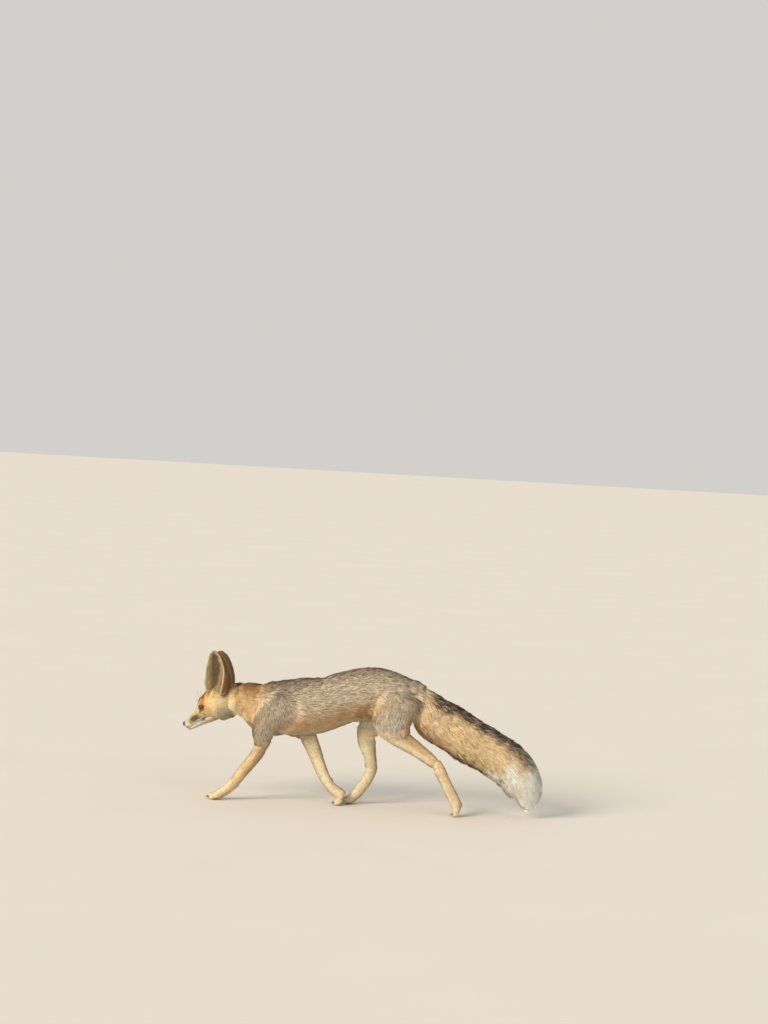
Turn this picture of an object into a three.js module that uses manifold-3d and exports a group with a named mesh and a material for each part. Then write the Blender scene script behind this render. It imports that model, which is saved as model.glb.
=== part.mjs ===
// A life-size sand fox caught in mid-stride, in millimetres.
// +Z is up and the floor is z = 0. The nose points to -X, and the fox's left side is -Y.
// The solids are the outside of the coat. Each part of the body is a loft along its own line.
import * as THREE from 'three';
import { mergeVertices } from 'three/addons/utils/BufferGeometryUtils.js';
import Module from 'manifold-3d';

const wasm = await Module();
wasm.setup();

// Driving dimensions
const GAP = 0.3; // the thin cut between two parts
const NOSE = [-323, 0, 142]; // the head's own origin, at the front of the nose
const HEAD_PITCH = THREE.MathUtils.degToRad(36); // how far the muzzle points down
const EAR_HEIGHT = 86;
const HEAD_ROLL = THREE.MathUtils.degToRad(-5); // the crown leans to the fox's right
const EYE_RADIUS = 7.2;
const EYE_AT = { back: 54.5, out: 18, up: 8 }; // the eye's middle, in the head's own frame
const NECK_CUT_X = -182; // where the neck ends and the trunk begins
const TAIL_CUTS = [0.34, 0.72]; // shares of the tail's line, the second at the white tip
const TOE_SPACING = 5.8;
const TOES = [-1.5, -0.5, 0.5, 1.5]; // places across a paw, in toe spacings
const TOE_RADIUS = 6.5;
const CLAW_LENGTH = 7;
const CLAW_RADIUS = 1.7;

const COLOURS = {
  grizzled: 0x9c8a70,
  sandy: 0xd9b27c,
  cream: 0xe9d3a8,
  white: 0xf3ead9,
  brush: 0xb99668,
  nose: 0x1c1614,
  eye: 0x4a2a12,
  claw: 0x2b221c,
};

// Each station is [x, y, z, half width, half height over, half height under].
// On a leg, whose line runs down, "over" is towards the tail and "under" towards the head.
const TRUNK = [
  [-232, 0, 197, 33, 33, 29],
  [-206, 0, 194, 34, 41, 30],
  [-184, 0, 189, 37, 46, 38],
  [-162, 0, 187, 42, 51, 53],
  [-130, 0, 188, 45, 55, 53],
  [-88, 0, 193, 47, 57.5, 57],
  [-48, 0, 199, 46, 56, 53],
  [-10, 0, 211, 43, 55, 49],
  [28, 0, 221, 43, 56, 51],
  [66, 0, 225, 43, 56, 52],
  [104, 0, 225, 37, 47, 44],
  [136, 0, 225, 24, 34, 30],
];

const TAIL = [
  [124, 0, 238, 18, 22, 28],
  [146, 0, 222, 28, 33, 40],
  [176, 0, 192, 34, 46, 43],
  [208, 0, 172, 36, 48, 43],
  [238, 0, 154, 37, 49, 43],
  [278, 0, 133, 36, 48, 41],
  [328, 0, 104, 35, 47, 41],
  [360, 0, 72, 31, 40, 39],
  [374, 0, 44, 20, 27, 27],
  [374, 0, 25, 8, 10, 10],
];

// The four legs: the joints' places in the stride, each with its half width, rear and front half depth.
const LEGS = {
  foreleg_left: {
    upper: [
      [-126, -31, 206, 13, 24, 22],
      [-147, -36, 176, 15, 27, 25],
      [-158, -35, 146, 14.5, 25, 20],
      [-157, -30, 118, 12.5, 17, 15],
    ],
    lower: [
      [-156, -29, 122, 12, 14, 14],
      [-170, -26, 94, 11.5, 13, 12.5],
      [-192, -22, 63, 10.5, 11.5, 12],
      [-212, -20, 36, 10.5, 12, 11],
    ],
    paw: [
      [-207, -20, 42, 10.3, 11.5, 10.5],
      [-222, -19, 25, 11.3, 11, 10],
      [-238, -19, 13.5, 12.4, 10.5, 8.5],
    ],
    toe_from: [-240, 10],
    toe_to: [-258, 4.2],
  },
  foreleg_right: {
    upper: [
      [-120, 31, 206, 13, 24, 24],
      [-130, 36, 178, 15, 27, 26],
      [-112, 35, 156, 14.5, 24, 24],
      [-82, 29, 142, 12.5, 17, 18],
    ],
    lower: [
      [-80, 27, 146, 12, 16, 18],
      [-63, 23, 116, 11.5, 14.5, 16.5],
      [-47, 18, 80, 10.5, 12.5, 13],
      [-32, 14, 50, 10.5, 11.5, 12],
    ],
    paw: [
      [-33, 14, 54, 10.3, 11.5, 11],
      [-20, 12, 36, 11.3, 11, 10.5],
      [0, 10, 20, 12.4, 13, 11.5],
    ],
    toe_from: [3, 12],
    toe_to: [-8, 4.2],
  },
  hindleg_left: {
    upper: [
      [106, -28, 230, 17, 36, 36],
      [101, -35, 202, 19, 40, 41],
      [98, -40, 176, 17, 40, 39],
      [100, -41, 158, 14, 32, 28],
    ],
    lower: [
      [86, -41, 170, 14.5, 24, 20],
      [112, -38, 150, 13.5, 21, 17],
      [142, -35, 131, 12, 18, 13],
      [170, -33, 113, 11, 15, 11],
      [188, -32, 101, 10.5, 13, 11],
    ],
    paw: [
      [190, -32, 103, 10.3, 13, 11],
      [212, -31, 64, 10, 11.5, 10.5],
      [228, -30, 36, 10.8, 11.5, 10.5],
      [236, -30, 22, 12.4, 11, 10.5],
    ],
    toe_from: [238, 17],
    toe_to: [234, 4.2],
  },
  hindleg_right: {
    upper: [
      [104, 28, 230, 17, 36, 36],
      [86, 35, 204, 19, 38, 38],
      [62, 39, 176, 17, 32, 30],
      [48, 40, 156, 14, 22, 20],
    ],
    lower: [
      [42, 39, 166, 13.5, 20, 19],
      [46, 39, 130, 12.5, 17, 19],
      [53, 39, 100, 11, 13, 13],
      [57, 39, 74, 10.5, 12.5, 12.5],
    ],
    paw: [
      [60, 39, 80, 10, 11.5, 11.5],
      [52, 39, 55, 9.5, 11, 11],
      [36, 38, 29, 10.5, 11, 10.5],
      [22, 37, 14, 12.4, 10.5, 9],
    ],
    toe_from: [20, 10],
    toe_to: [3, 4.2],
  },
};

// The head, in its own frame: x runs back from the nose, z is up, square to the muzzle.
const SKULL = [
  [7, 0, -4, 8.5, 7.5, 8],
  [17, 0, -4.5, 11, 10.5, 10],
  [32, 0, -3, 14, 12.5, 12],
  [44, 0, 0, 19, 15.5, 16],
  [54, 0, 1, 25.5, 24, 23],
  [66, 0, 1, 34, 30.5, 31],
  [80, 0, -1, 38.5, 35.5, 36],
  [95, 0, -3, 36, 36, 35],
  [112, 0, -6, 29, 31, 28],
];

const JAW = [
  [9, 0, -12.5, 6, 4, 4],
  [20, 0, -14, 8.5, 5, 5],
  [36, 0, -16, 12.5, 6, 6],
  [54, 0, -18.5, 20, 8, 8],
];

function curve(rows, first) {
  const points = rows.map((row) => new THREE.Vector3(...row.slice(first, first + 3)));
  return new THREE.CatmullRomCurve3(points, false, 'catmullrom', 0.5);
}

// The places, directions and half sizes at a share of a limb's line.
function sectionAt(rows, share) {
  const line = curve(rows, 0);
  const along = line.getTangent(share);
  const across = new THREE.Vector3(0, 1, 0).addScaledVector(along, -along.y).normalize();
  const sizes = curve(rows, 3).getPoint(share);
  return {
    middle: line.getPoint(share),
    along,
    across,
    over: new THREE.Vector3().crossVectors(along, across),
    half: sizes,
  };
}

// A closed mesh from rings of points, with a fan at each end.
function meshOfRings(rings, firstTip, lastTip) {
  const around = rings[0].length;
  const points = [firstTip, ...rings.flat(), lastTip];
  const faces = [];
  const index = (ring, i) => 1 + ring * around + (i % around);
  for (let i = 0; i < around; i += 1) {
    faces.push(0, index(0, i + 1), index(0, i));
    for (let ring = 0; ring + 1 < rings.length; ring += 1) {
      faces.push(index(ring, i), index(ring, i + 1), index(ring + 1, i + 1));
      faces.push(index(ring, i), index(ring + 1, i + 1), index(ring + 1, i));
    }
    faces.push(points.length - 1, index(rings.length - 1, i), index(rings.length - 1, i + 1));
  }
  const geometry = new THREE.BufferGeometry().setFromPoints(points);
  geometry.setIndex(faces);
  return geometry;
}

// A loft through a limb's stations with rounded ends, "grow" larger all round.
function loft(rows, { around = 16, steps = 10, grow = 0, roundness = 0.7, caps = [60, 30] } = {}) {
  const rings = [];
  const ring = (section, scale, shift) => {
    const loop = [];
    for (let i = 0; i < around; i += 1) {
      const angle = (i / around) * 2 * Math.PI;
      const up = Math.sin(angle);
      const height = (up > 0 ? section.half.y : section.half.z) + grow;
      loop.push(
        section.middle
          .clone()
          .addScaledVector(section.along, shift)
          .addScaledVector(section.across, scale * Math.cos(angle) * (section.half.x + grow))
          .addScaledVector(section.over, scale * up * height),
      );
    }
    return loop;
  };
  const capOf = (section) => roundness * section.half.x + grow;
  const first = sectionAt(rows, 0);
  const last = sectionAt(rows, 1);
  const capAngles = caps.map(THREE.MathUtils.degToRad);
  for (const angle of capAngles) {
    rings.push(ring(first, Math.cos(angle), -capOf(first) * Math.sin(angle)));
  }
  for (let step = 0; step <= steps; step += 1) {
    rings.push(ring(sectionAt(rows, step / steps), 1, 0));
  }
  for (const angle of [...capAngles].reverse()) {
    rings.push(ring(last, Math.cos(angle), capOf(last) * Math.sin(angle)));
  }
  const tip = (section, way) =>
    section.middle.clone().addScaledVector(section.along, way * capOf(section));
  return meshOfRings(rings, tip(first, -1), tip(last, 1));
}

// Solids are cut and joined here, and turned back into meshes at the end.
function solidOf(geometry) {
  const bare = new THREE.BufferGeometry();
  bare.setAttribute('position', geometry.getAttribute('position'));
  if (geometry.index) bare.setIndex(geometry.index);
  const merged = mergeVertices(bare, 1e-3);
  return new wasm.Manifold(
    new wasm.Mesh({
      numProp: 3,
      vertProperties: merged.attributes.position.array,
      triVerts: new Uint32Array(merged.index.array),
    }),
  );
}

function geometryOf(solid) {
  const { numProp, vertProperties, triVerts } = solid.getMesh();
  const positions = new Float32Array((vertProperties.length / numProp) * 3);
  for (let i = 0; i < positions.length / 3; i += 1) {
    positions.set(vertProperties.subarray(i * numProp, i * numProp + 3), i * 3);
  }
  const geometry = new THREE.BufferGeometry();
  geometry.setAttribute('position', new THREE.BufferAttribute(positions, 3));
  geometry.setIndex(new THREE.BufferAttribute(new Uint32Array(triVerts), 1));
  geometry.computeVertexNormals();
  return geometry;
}

// The largest body that a cut leaves.
function mainBody(solid) {
  return solid.decompose().sort((a, b) => b.volume() - a.volume())[0];
}

function without(solid, cutters) {
  return mainBody(cutters.reduce((left, cutter) => left.subtract(cutter), solid));
}

function box(low, high) {
  const size = high.map((value, axis) => value - low[axis]);
  const geometry = new THREE.BoxGeometry(...size);
  geometry.translate(...low.map((value, axis) => value + size[axis] / 2));
  return solidOf(geometry);
}

function ball(radii, middle, around = 12) {
  const geometry = new THREE.SphereGeometry(1, around, Math.round(around * 0.6));
  geometry.scale(...radii);
  geometry.translate(...middle);
  return solidOf(geometry);
}

// All that lies past a plane square to a limb's line, on one side of it.
function halfSpace(rows, share, way, back) {
  const { middle, along } = sectionAt(rows, share);
  const reach = 400;
  const geometry = new THREE.BoxGeometry(reach, reach, reach);
  geometry.translate(way * (reach / 2 + back), 0, 0);
  const turn = new THREE.Quaternion().setFromUnitVectors(new THREE.Vector3(1, 0, 0), along);
  geometry.applyQuaternion(turn);
  geometry.translate(middle.x, middle.y, middle.z);
  return solidOf(geometry);
}

function part(name, solid, colour, roughness = 0.9) {
  const material = new THREE.MeshStandardMaterial({
    color: COLOURS[colour],
    roughness,
    metalness: 0,
  });
  const mesh = new THREE.Mesh(geometryOf(solid), material);
  mesh.name = name;
  return mesh;
}

// The legs: shoulder or thigh, forearm or shank, then the paw with four toes and its claws.
function toeLine(leg, place) {
  const middle = leg.paw.at(-1)[1] + place * TOE_SPACING;
  const [fromX, fromZ] = leg.toe_from;
  const [toX, toZ] = leg.toe_to;
  const reach = Math.abs(place) > 1 ? 0.78 : 1; // the outer toes are shorter
  const tipX = fromX + (toX - fromX) * reach;
  return [
    [fromX, middle, fromZ, 4.6, TOE_RADIUS, TOE_RADIUS],
    [(fromX + tipX) / 2, middle, (fromZ + toZ) / 2 + 0.6, 4.6, TOE_RADIUS, TOE_RADIUS],
    [tipX, middle, toZ, 4.2, TOE_RADIUS - 0.4, TOE_RADIUS - 0.4],
  ];
}

function clawLine(toe) {
  const [x, y, z] = toe[2];
  const rootX = x - 2.5;
  const rootZ = Math.max(z, 5);
  return [
    [rootX, y, rootZ + 1, CLAW_RADIUS * 0.8, CLAW_RADIUS, CLAW_RADIUS],
    [rootX - CLAW_LENGTH * 0.55, y, rootZ + 0.4, CLAW_RADIUS * 0.6, CLAW_RADIUS * 0.75, CLAW_RADIUS * 0.75],
    [rootX - CLAW_LENGTH, y, rootZ - 2.2, 0.5, 0.5, 0.5],
  ];
}

const aboveFloor = box([-500, -200, 0], [600, 200, 500]);

function legParts(name, leg) {
  const upperStyle = { around: 12, steps: 5 };
  const lowerStyle = { around: 10, steps: 6 };
  const pawStyle = { around: 8, steps: 4 };
  const toeStyle = { around: 6, steps: 1, caps: [50] };
  const upper = solidOf(loft(leg.upper, upperStyle));
  const grownUpper = solidOf(loft(leg.upper, { ...upperStyle, grow: GAP }));
  const lower = solidOf(loft(leg.lower, lowerStyle));
  const grownLower = solidOf(loft(leg.lower, { ...lowerStyle, grow: GAP }));
  const toes = TOES.map((place) => toeLine(leg, place));
  let paw = solidOf(loft(leg.paw, pawStyle));
  for (const toe of toes) {
    paw = paw.add(solidOf(loft(toe, toeStyle)));
  }
  const claws = toes.map((toe) => solidOf(loft(clawLine(toe), { around: 5, steps: 1, caps: [50] })));
  paw = without(paw.intersect(aboveFloor), [grownLower]);
  const grownPaw = [loft(leg.paw, { ...pawStyle, grow: GAP })]
    .concat(toes.map((toe) => loft(toe, { ...toeStyle, grow: GAP })))
    .map(solidOf);
  return {
    name,
    upper,
    grownUpper,
    lower: without(lower, [grownUpper]),
    grownLower,
    paw,
    claws: claws.map((claw) => without(claw, grownPaw)),
  };
}

// An ear: a tall cup of thin gristle and fur, rolled into a tube at its root.
function ear(side) {
  const openTo = new THREE.Vector3(-0.54, side * 0.74, 0.39).normalize();
  const rise = new THREE.Vector3(0.46, side * 0.2, 0.86).normalize();
  const chord = new THREE.Vector3().crossVectors(openTo, rise).normalize();
  const back = new THREE.Vector3().crossVectors(rise, chord).normalize();
  if (back.dot(openTo) > 0) back.negate();
  const root = new THREE.Vector3(96.5, side * 25, 12);
  const wall = 3;
  const rows = 6;
  const half = 5; // points from the middle of the back to one rim
  // [share of the height, half width, depth of the cup, how far the rims roll in, in degrees]
  const profile = [
    [0, 20, 20, 122],
    [0.16, 25, 24, 114],
    [0.34, 28, 24, 106],
    [0.52, 28, 20, 98],
    [0.7, 25, 15.5, 90],
    [0.86, 19.5, 11, 84],
    [0.95, 13, 7.5, 78],
    [1, 7, 4.8, 72],
  ];
  const shape = new THREE.CatmullRomCurve3(
    profile.map(([, width, depth, roll]) => new THREE.Vector3(width, depth, roll)),
    false,
    'catmullrom',
    0.5,
  );
  const heights = new THREE.CatmullRomCurve3(
    profile.map(([share]) => new THREE.Vector3(share, 0, 0)),
    false,
    'catmullrom',
    0.5,
  );
  const points = [];
  const loopLength = 2 * (2 * half + 1);
  for (let row = 0; row <= rows; row += 1) {
    const share = row / rows;
    const { x: width, y: depth, z: roll } = shape.getPoint(share);
    const height = heights.getPoint(share).x * EAR_HEIGHT;
    const middle = root.clone().addScaledVector(rise, height);
    for (const inward of [0, wall]) {
      for (let i = -half; i <= half; i += 1) {
        const order = inward ? -i : i;
        const angle = THREE.MathUtils.degToRad((roll * order) / half);
        points.push(
          middle
            .clone()
            .addScaledVector(chord, Math.max(width - inward, 0.6) * Math.sin(angle))
            .addScaledVector(back, Math.max(depth - inward, 0.5) * Math.cos(angle)),
        );
      }
    }
  }
  const faces = [];
  const at = (row, i) => row * loopLength + (i % loopLength);
  for (let row = 0; row < rows; row += 1) {
    for (let i = 0; i < loopLength; i += 1) {
      faces.push(at(row, i), at(row, i + 1), at(row + 1, i + 1));
      faces.push(at(row, i), at(row + 1, i + 1), at(row + 1, i));
    }
  }
  for (const row of [0, rows]) {
    for (let i = 0; i < 2 * half; i += 1) {
      const outer = [at(row, i), at(row, i + 1)];
      const inner = [at(row, loopLength - 1 - i), at(row, loopLength - 2 - i)];
      const quad = [outer[0], inner[0], inner[1], outer[0], inner[1], outer[1]];
      faces.push(...(row === 0 ? quad : quad.reverse()));
    }
  }
  const geometry = new THREE.BufferGeometry().setFromPoints(points);
  geometry.setIndex(faces);
  const solid = solidOf(geometry);
  if (solid.volume() > 0) return solid;
  for (let i = 0; i < faces.length; i += 3) [faces[i], faces[i + 1]] = [faces[i + 1], faces[i]];
  geometry.setIndex(faces);
  return solidOf(geometry);
}

function headParts(bodyInHead) {
  const style = { around: 16, steps: 10, roundness: 0.6 };
  const skull = solidOf(loft(SKULL, style));
  const grownSkull = solidOf(loft(SKULL, { ...style, grow: GAP }));
  const jawStyle = { around: 10, steps: 4 };
  const jaw = solidOf(loft(JAW, jawStyle));
  const grownJaw = solidOf(loft(JAW, { ...jawStyle, grow: GAP }));
  const nose = (grow) => ball([4.6 + grow, 6 + grow, 4.8 + grow], [4.6, 0, -0.2], 12);
  const eye = (side, grow) =>
    ball(Array(3).fill(EYE_RADIUS + grow), [EYE_AT.back, side * EYE_AT.out, EYE_AT.up]);
  return {
    head: without(skull, [nose(GAP), eye(-1, GAP), eye(1, GAP)]),
    grownSkull,
    grownJaw,
    lower_jaw: without(jaw, [grownSkull]),
    nose: nose(0),
    eye_left: eye(-1, 0),
    eye_right: eye(1, 0),
    ear_left: without(ear(-1), [grownSkull, bodyInHead]),
    ear_right: without(ear(1), [grownSkull, bodyInHead]),
  };
}

const fox = new THREE.Group();
const headGroup = new THREE.Group();
headGroup.position.set(...NOSE);
headGroup.rotation.set(HEAD_ROLL, -HEAD_PITCH, 0);
headGroup.updateMatrix();
fox.add(headGroup);

const legs = Object.entries(LEGS).map(([name, leg]) => legParts(name, leg));
const trunkStyle = { around: 18, steps: 14 };
const trunkWhole = without(
  solidOf(loft(TRUNK, trunkStyle)),
  legs.map((leg) => leg.grownUpper),
);
const trunkGrown = solidOf(loft(TRUNK, { ...trunkStyle, grow: GAP }));
const beforeCut = box([-400, -200, 0], [NECK_CUT_X - GAP, 200, 400]);
const behindCut = box([NECK_CUT_X, -200, 0], [400, 200, 400]);

const headPlace = headGroup.matrix;
const head = headParts(trunkGrown.transform(headPlace.clone().invert().elements));
const headInPlace = [head.grownSkull, head.grownJaw].map((solid) => solid.transform(headPlace.elements));
const tailWhole = without(solidOf(loft(TAIL, { around: 14, steps: 12 })), [
  trunkGrown,
  ...legs.flatMap((leg) => [leg.grownUpper, leg.grownLower]),
]);

headGroup.add(
  part('head', head.head, 'sandy'),
  part('lower_jaw', head.lower_jaw, 'white'),
  part('nose', head.nose, 'nose', 0.4),
  part('eye_left', head.eye_left, 'eye', 0.1),
  part('eye_right', head.eye_right, 'eye', 0.1),
  part('ear_left', head.ear_left, 'sandy'),
  part('ear_right', head.ear_right, 'sandy'),
);
fox.add(
  part('neck', without(trunkWhole.intersect(beforeCut), headInPlace), 'sandy'),
  part('trunk', mainBody(trunkWhole.intersect(behindCut)), 'grizzled'),
  part('tail_base', mainBody(tailWhole.intersect(halfSpace(TAIL, TAIL_CUTS[0], -1, 0))), 'brush'),
  part(
    'tail_middle',
    mainBody(
      tailWhole
        .intersect(halfSpace(TAIL, TAIL_CUTS[0], 1, GAP))
        .intersect(halfSpace(TAIL, TAIL_CUTS[1], -1, 0)),
    ),
    'brush',
  ),
  part('tail_tip', mainBody(tailWhole.intersect(halfSpace(TAIL, TAIL_CUTS[1], 1, GAP))), 'white'),
);
for (const leg of legs) {
  fox.add(
    part(`${leg.name}_upper`, leg.upper, 'grizzled'),
    part(`${leg.name}_lower`, without(leg.lower, [trunkGrown]), 'cream'),
    part(`${leg.name}_paw`, leg.paw, 'cream'),
  );
  leg.claws.forEach((claw, i) => {
    fox.add(part(`${leg.name}_claw_${i + 1}`, claw, 'claw', 0.4));
  });
}

// The origin is the middle of the box round the fox, at the floor.
const bounds = new THREE.Box3().setFromObject(fox, true);
const centre = bounds.getCenter(new THREE.Vector3());
fox.position.set(-centre.x, -centre.y, 0);

const model = new THREE.Group();
model.add(fox);

export default model;
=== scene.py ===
# A sand fox in mid-stride: one skin under a coat of solid fur tufts, on a pale studio floor.
# The shapes are set out in millimetres in the fox's own frame: the nose points to -X, its left is -Y.
import math
from functools import partial

import bmesh
import bpy
import numpy as np
from mathutils import Matrix, Vector


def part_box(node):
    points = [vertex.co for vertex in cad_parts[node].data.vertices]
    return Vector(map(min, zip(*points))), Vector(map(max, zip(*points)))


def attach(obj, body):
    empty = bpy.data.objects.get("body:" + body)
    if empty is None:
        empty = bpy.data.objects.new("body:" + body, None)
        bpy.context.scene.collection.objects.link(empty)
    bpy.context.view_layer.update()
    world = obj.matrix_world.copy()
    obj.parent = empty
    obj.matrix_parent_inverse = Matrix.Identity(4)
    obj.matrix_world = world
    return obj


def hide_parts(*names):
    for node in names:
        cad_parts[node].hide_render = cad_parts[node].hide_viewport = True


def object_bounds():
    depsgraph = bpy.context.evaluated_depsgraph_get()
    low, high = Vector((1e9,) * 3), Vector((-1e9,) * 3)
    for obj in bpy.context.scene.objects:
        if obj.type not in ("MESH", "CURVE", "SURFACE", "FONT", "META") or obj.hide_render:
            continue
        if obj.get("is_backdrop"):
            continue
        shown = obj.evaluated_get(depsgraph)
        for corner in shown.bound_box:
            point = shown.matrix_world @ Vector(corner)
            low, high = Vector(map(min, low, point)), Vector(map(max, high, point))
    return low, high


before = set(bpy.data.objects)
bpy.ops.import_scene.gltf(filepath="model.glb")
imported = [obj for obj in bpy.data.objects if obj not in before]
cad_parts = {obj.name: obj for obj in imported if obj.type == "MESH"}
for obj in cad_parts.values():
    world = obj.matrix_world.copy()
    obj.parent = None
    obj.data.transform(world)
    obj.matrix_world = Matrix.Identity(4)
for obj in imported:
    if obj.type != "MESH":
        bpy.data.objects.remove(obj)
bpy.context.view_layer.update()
rng = np.random.default_rng(7)

# Driving dimensions, in millimetres where no comment says otherwise
NOSE = np.array([-323.0, 0.0, 142.0])
HEAD_PITCH = math.radians(36)
HEAD_ROLL = math.radians(-5)
# Left and right are -Y and +Y.
SIDES = (-1, 1)
EYES = ("eye_left", "eye_right")
EYE_BACK, EYE_OUT, EYE_UP, EYE_RADIUS = 54.5, 18.0, 8.0, 7.2
# Half length and half height of the opening, and how far it rises towards the ear.
OPENING, OPENING_TALL, OPENING_TILT = 6.9, 4.3, 0.12
EAR_ROOT = (96.5, 25.0, 12.0)
EAR_HEIGHT = 86.0
EAR_WALL = 1.7
# The first, coarse grid needs a thicker ear to catch it.
COARSE_EAR_WALL = 4.6
EAR_NAP = 1.5
EAR_STEPS = 60
EAR_SOFTNESS = 5
FAR = 1e3
LOWEST_SKIN = 0.5
LOWEST_TIP = 0.6
LOWEST_HAIR = 0.3
FACE_FROM = -230.0
FINE_FROM = -232.0
FINE_BELOW = 18.0
BAKE_PATCH = 0.003
GRID_LOW, GRID_HIGH = np.array([-345.0, -66.0, -4.0]), np.array([402.0, 66.0, 306.0])
# The picture's size and the camera's reach in it, in pixels, and where the fox's middle stands.
PICTURE = (768, 1024)
FOCAL = 2200.0
STANDS_AT = (339, 806)
CAMERA_AWAY = 4400.0
CAMERA_ROLL, CAMERA_PITCH, CAMERA_YAW = math.radians(3.2), math.radians(1.95), math.radians(4.5)
SENSOR = 36
# Half the floor's side, in metres.
FLOOR = 40
TOES = (-1.5, -0.5, 0.5, 1.5)
TOE_SPACING = 5.8
GRID_STEP = 2.4
COAT_DENSITY = 1.4
COAT_LEAST, COAT_MOST = 0.7, 27.0
STYLE_ROUNDS, FLOW_ROUNDS = 12, 7

# Each station is x, y, z, half width, half height over, half height under, and the coat's depth there.
TRUNK = [
    (-232, 0, 197, 33, 33, 29, 9), (-206, 0, 194, 34, 41, 30, 9), (-184, 0, 189, 37, 46, 38, 9),
    (-162, 0, 187, 42, 51, 53, 9), (-130, 0, 188, 45, 55, 53, 9), (-88, 0, 193, 47, 57.5, 57, 9),
    (-48, 0, 199, 46, 56, 53, 9), (-10, 0, 211, 43, 55, 49, 9), (28, 0, 221, 43, 56, 51, 9),
    (66, 0, 225, 43, 56, 52, 9), (104, 0, 225, 37, 47, 44, 9), (136, 0, 225, 24, 34, 30, 9),
]
TAIL = [
    (124, 0, 238, 18, 22, 28, 6), (146, 0, 222, 28, 33, 40, 10), (176, 0, 192, 34, 46, 43, 12),
    (208, 0, 172, 36, 48, 43, 13), (238, 0, 154, 37, 49, 43, 14), (278, 0, 133, 36, 48, 41, 14),
    (328, 0, 104, 35, 47, 41, 13), (360, 0, 72, 31, 40, 39, 12), (374, 0, 44, 20, 27, 27, 9),
    (374, 0, 25, 8, 10, 10, 5),
]
LEGS = {
    "foreleg_left": {
        "upper": [
            (-126, -31, 206, 13, 24, 22, 6), (-147, -36, 176, 15, 27, 25, 6),
            (-158, -35, 146, 14.5, 25, 20, 5.5), (-157, -30, 118, 12.5, 17, 15, 4),
        ],
        "lower": [
            (-156, -29, 122, 12, 14, 14, 3.4), (-170, -26, 94, 11.5, 13, 12.5, 2.8),
            (-192, -22, 63, 10.5, 11.5, 12, 2.4), (-212, -20, 36, 10.5, 12, 11, 2.2),
        ],
        "paw": [
            (-207, -20, 42, 10.3, 11.5, 10.5, 2.2), (-222, -19, 25, 11.3, 11, 10, 2),
            (-238, -19, 13.5, 12.4, 10.5, 8.5, 1.8),
        ],
        "toe_from": (-240, 10),
        "toe_to": (-258, 4.2),
    },
    "foreleg_right": {
        "upper": [
            (-120, 31, 206, 13, 24, 24, 6), (-130, 36, 178, 15, 27, 26, 6),
            (-112, 35, 156, 14.5, 24, 24, 5.5), (-82, 29, 142, 12.5, 17, 18, 4),
        ],
        "lower": [
            (-80, 27, 146, 12, 16, 18, 3.4), (-63, 23, 116, 11.5, 14.5, 16.5, 2.8),
            (-47, 18, 80, 10.5, 12.5, 13, 2.4), (-32, 14, 50, 10.5, 11.5, 12, 2.2),
        ],
        "paw": [
            (-33, 14, 54, 10.3, 11.5, 11, 2.2), (-20, 12, 36, 11.3, 11, 10.5, 2),
            (0, 10, 20, 12.4, 13, 11.5, 1.8),
        ],
        "toe_from": (3, 12),
        "toe_to": (-8, 4.2),
    },
    "hindleg_left": {
        "upper": [
            (106, -28, 230, 17, 36, 36, 7), (101, -35, 202, 19, 40, 41, 7),
            (98, -40, 176, 17, 40, 39, 6.5), (100, -41, 158, 14, 32, 28, 5),
        ],
        "lower": [
            (86, -41, 170, 14.5, 24, 20, 5), (112, -38, 150, 13.5, 21, 17, 4),
            (142, -35, 131, 12, 18, 13, 3.2), (170, -33, 113, 11, 15, 11, 2.8),
            (188, -32, 101, 10.5, 13, 11, 2.4),
        ],
        "paw": [
            (190, -32, 103, 10.3, 13, 11, 2.4), (212, -31, 64, 10, 11.5, 10.5, 2.2),
            (228, -30, 36, 10.8, 11.5, 10.5, 2), (236, -30, 22, 12.4, 11, 10.5, 1.8),
        ],
        "toe_from": (238, 17),
        "toe_to": (234, 4.2),
    },
    "hindleg_right": {
        "upper": [
            (104, 28, 230, 17, 36, 36, 7), (86, 35, 204, 19, 38, 38, 7),
            (62, 39, 176, 17, 32, 30, 6.5), (48, 40, 156, 14, 22, 20, 5),
        ],
        "lower": [
            (42, 39, 166, 13.5, 20, 19, 5), (46, 39, 130, 12.5, 17, 19, 4),
            (53, 39, 100, 11, 13, 13, 3), (57, 39, 74, 10.5, 12.5, 12.5, 2.4),
        ],
        "paw": [
            (60, 39, 80, 10, 11.5, 11.5, 2.4), (52, 39, 55, 9.5, 11, 11, 2.2),
            (36, 38, 29, 10.5, 11, 10.5, 2), (22, 37, 14, 12.4, 10.5, 9, 1.8),
        ],
        "toe_from": (20, 10),
        "toe_to": (3, 4.2),
    },
}
LEG_PIECES = ("upper", "lower", "paw", "toe")
# The head's own frame: x runs back from the nose, z is square to the muzzle.
SKULL = [
    (7, 0, -4, 8.5, 7.5, 8, 0.8), (17, 0, -4.5, 11, 10.5, 10, 1.2), (32, 0, -3, 14, 12.5, 12, 1.8),
    (44, 0, 0, 19, 15.5, 16, 2.4), (54, 0, 1, 25.5, 24, 23, 3.4), (66, 0, 1, 34, 30.5, 31, 6),
    (80, 0, -1, 38.5, 35.5, 36, 8), (95, 0, -3, 36, 36, 35, 9), (112, 0, -6, 29, 31, 28, 9),
]
JAW = [
    (9, 0, -12.5, 6, 4, 4, 0.6), (20, 0, -14, 8.5, 5, 5, 0.8),
    (36, 0, -16, 12.5, 6, 6, 1.2), (54, 0, -18.5, 20, 8, 8, 2.5),
]
# Share of the ear's height, half width, depth of the cup, and how far the rims roll in, in degrees.
EAR = [
    (0, 20, 20, 122), (0.16, 25, 24, 114), (0.34, 28, 24, 106), (0.52, 28, 20, 98),
    (0.7, 25, 15.5, 90), (0.86, 19.5, 11, 84), (0.95, 13, 7.5, 78), (1, 7, 4.8, 72),
]


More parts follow.
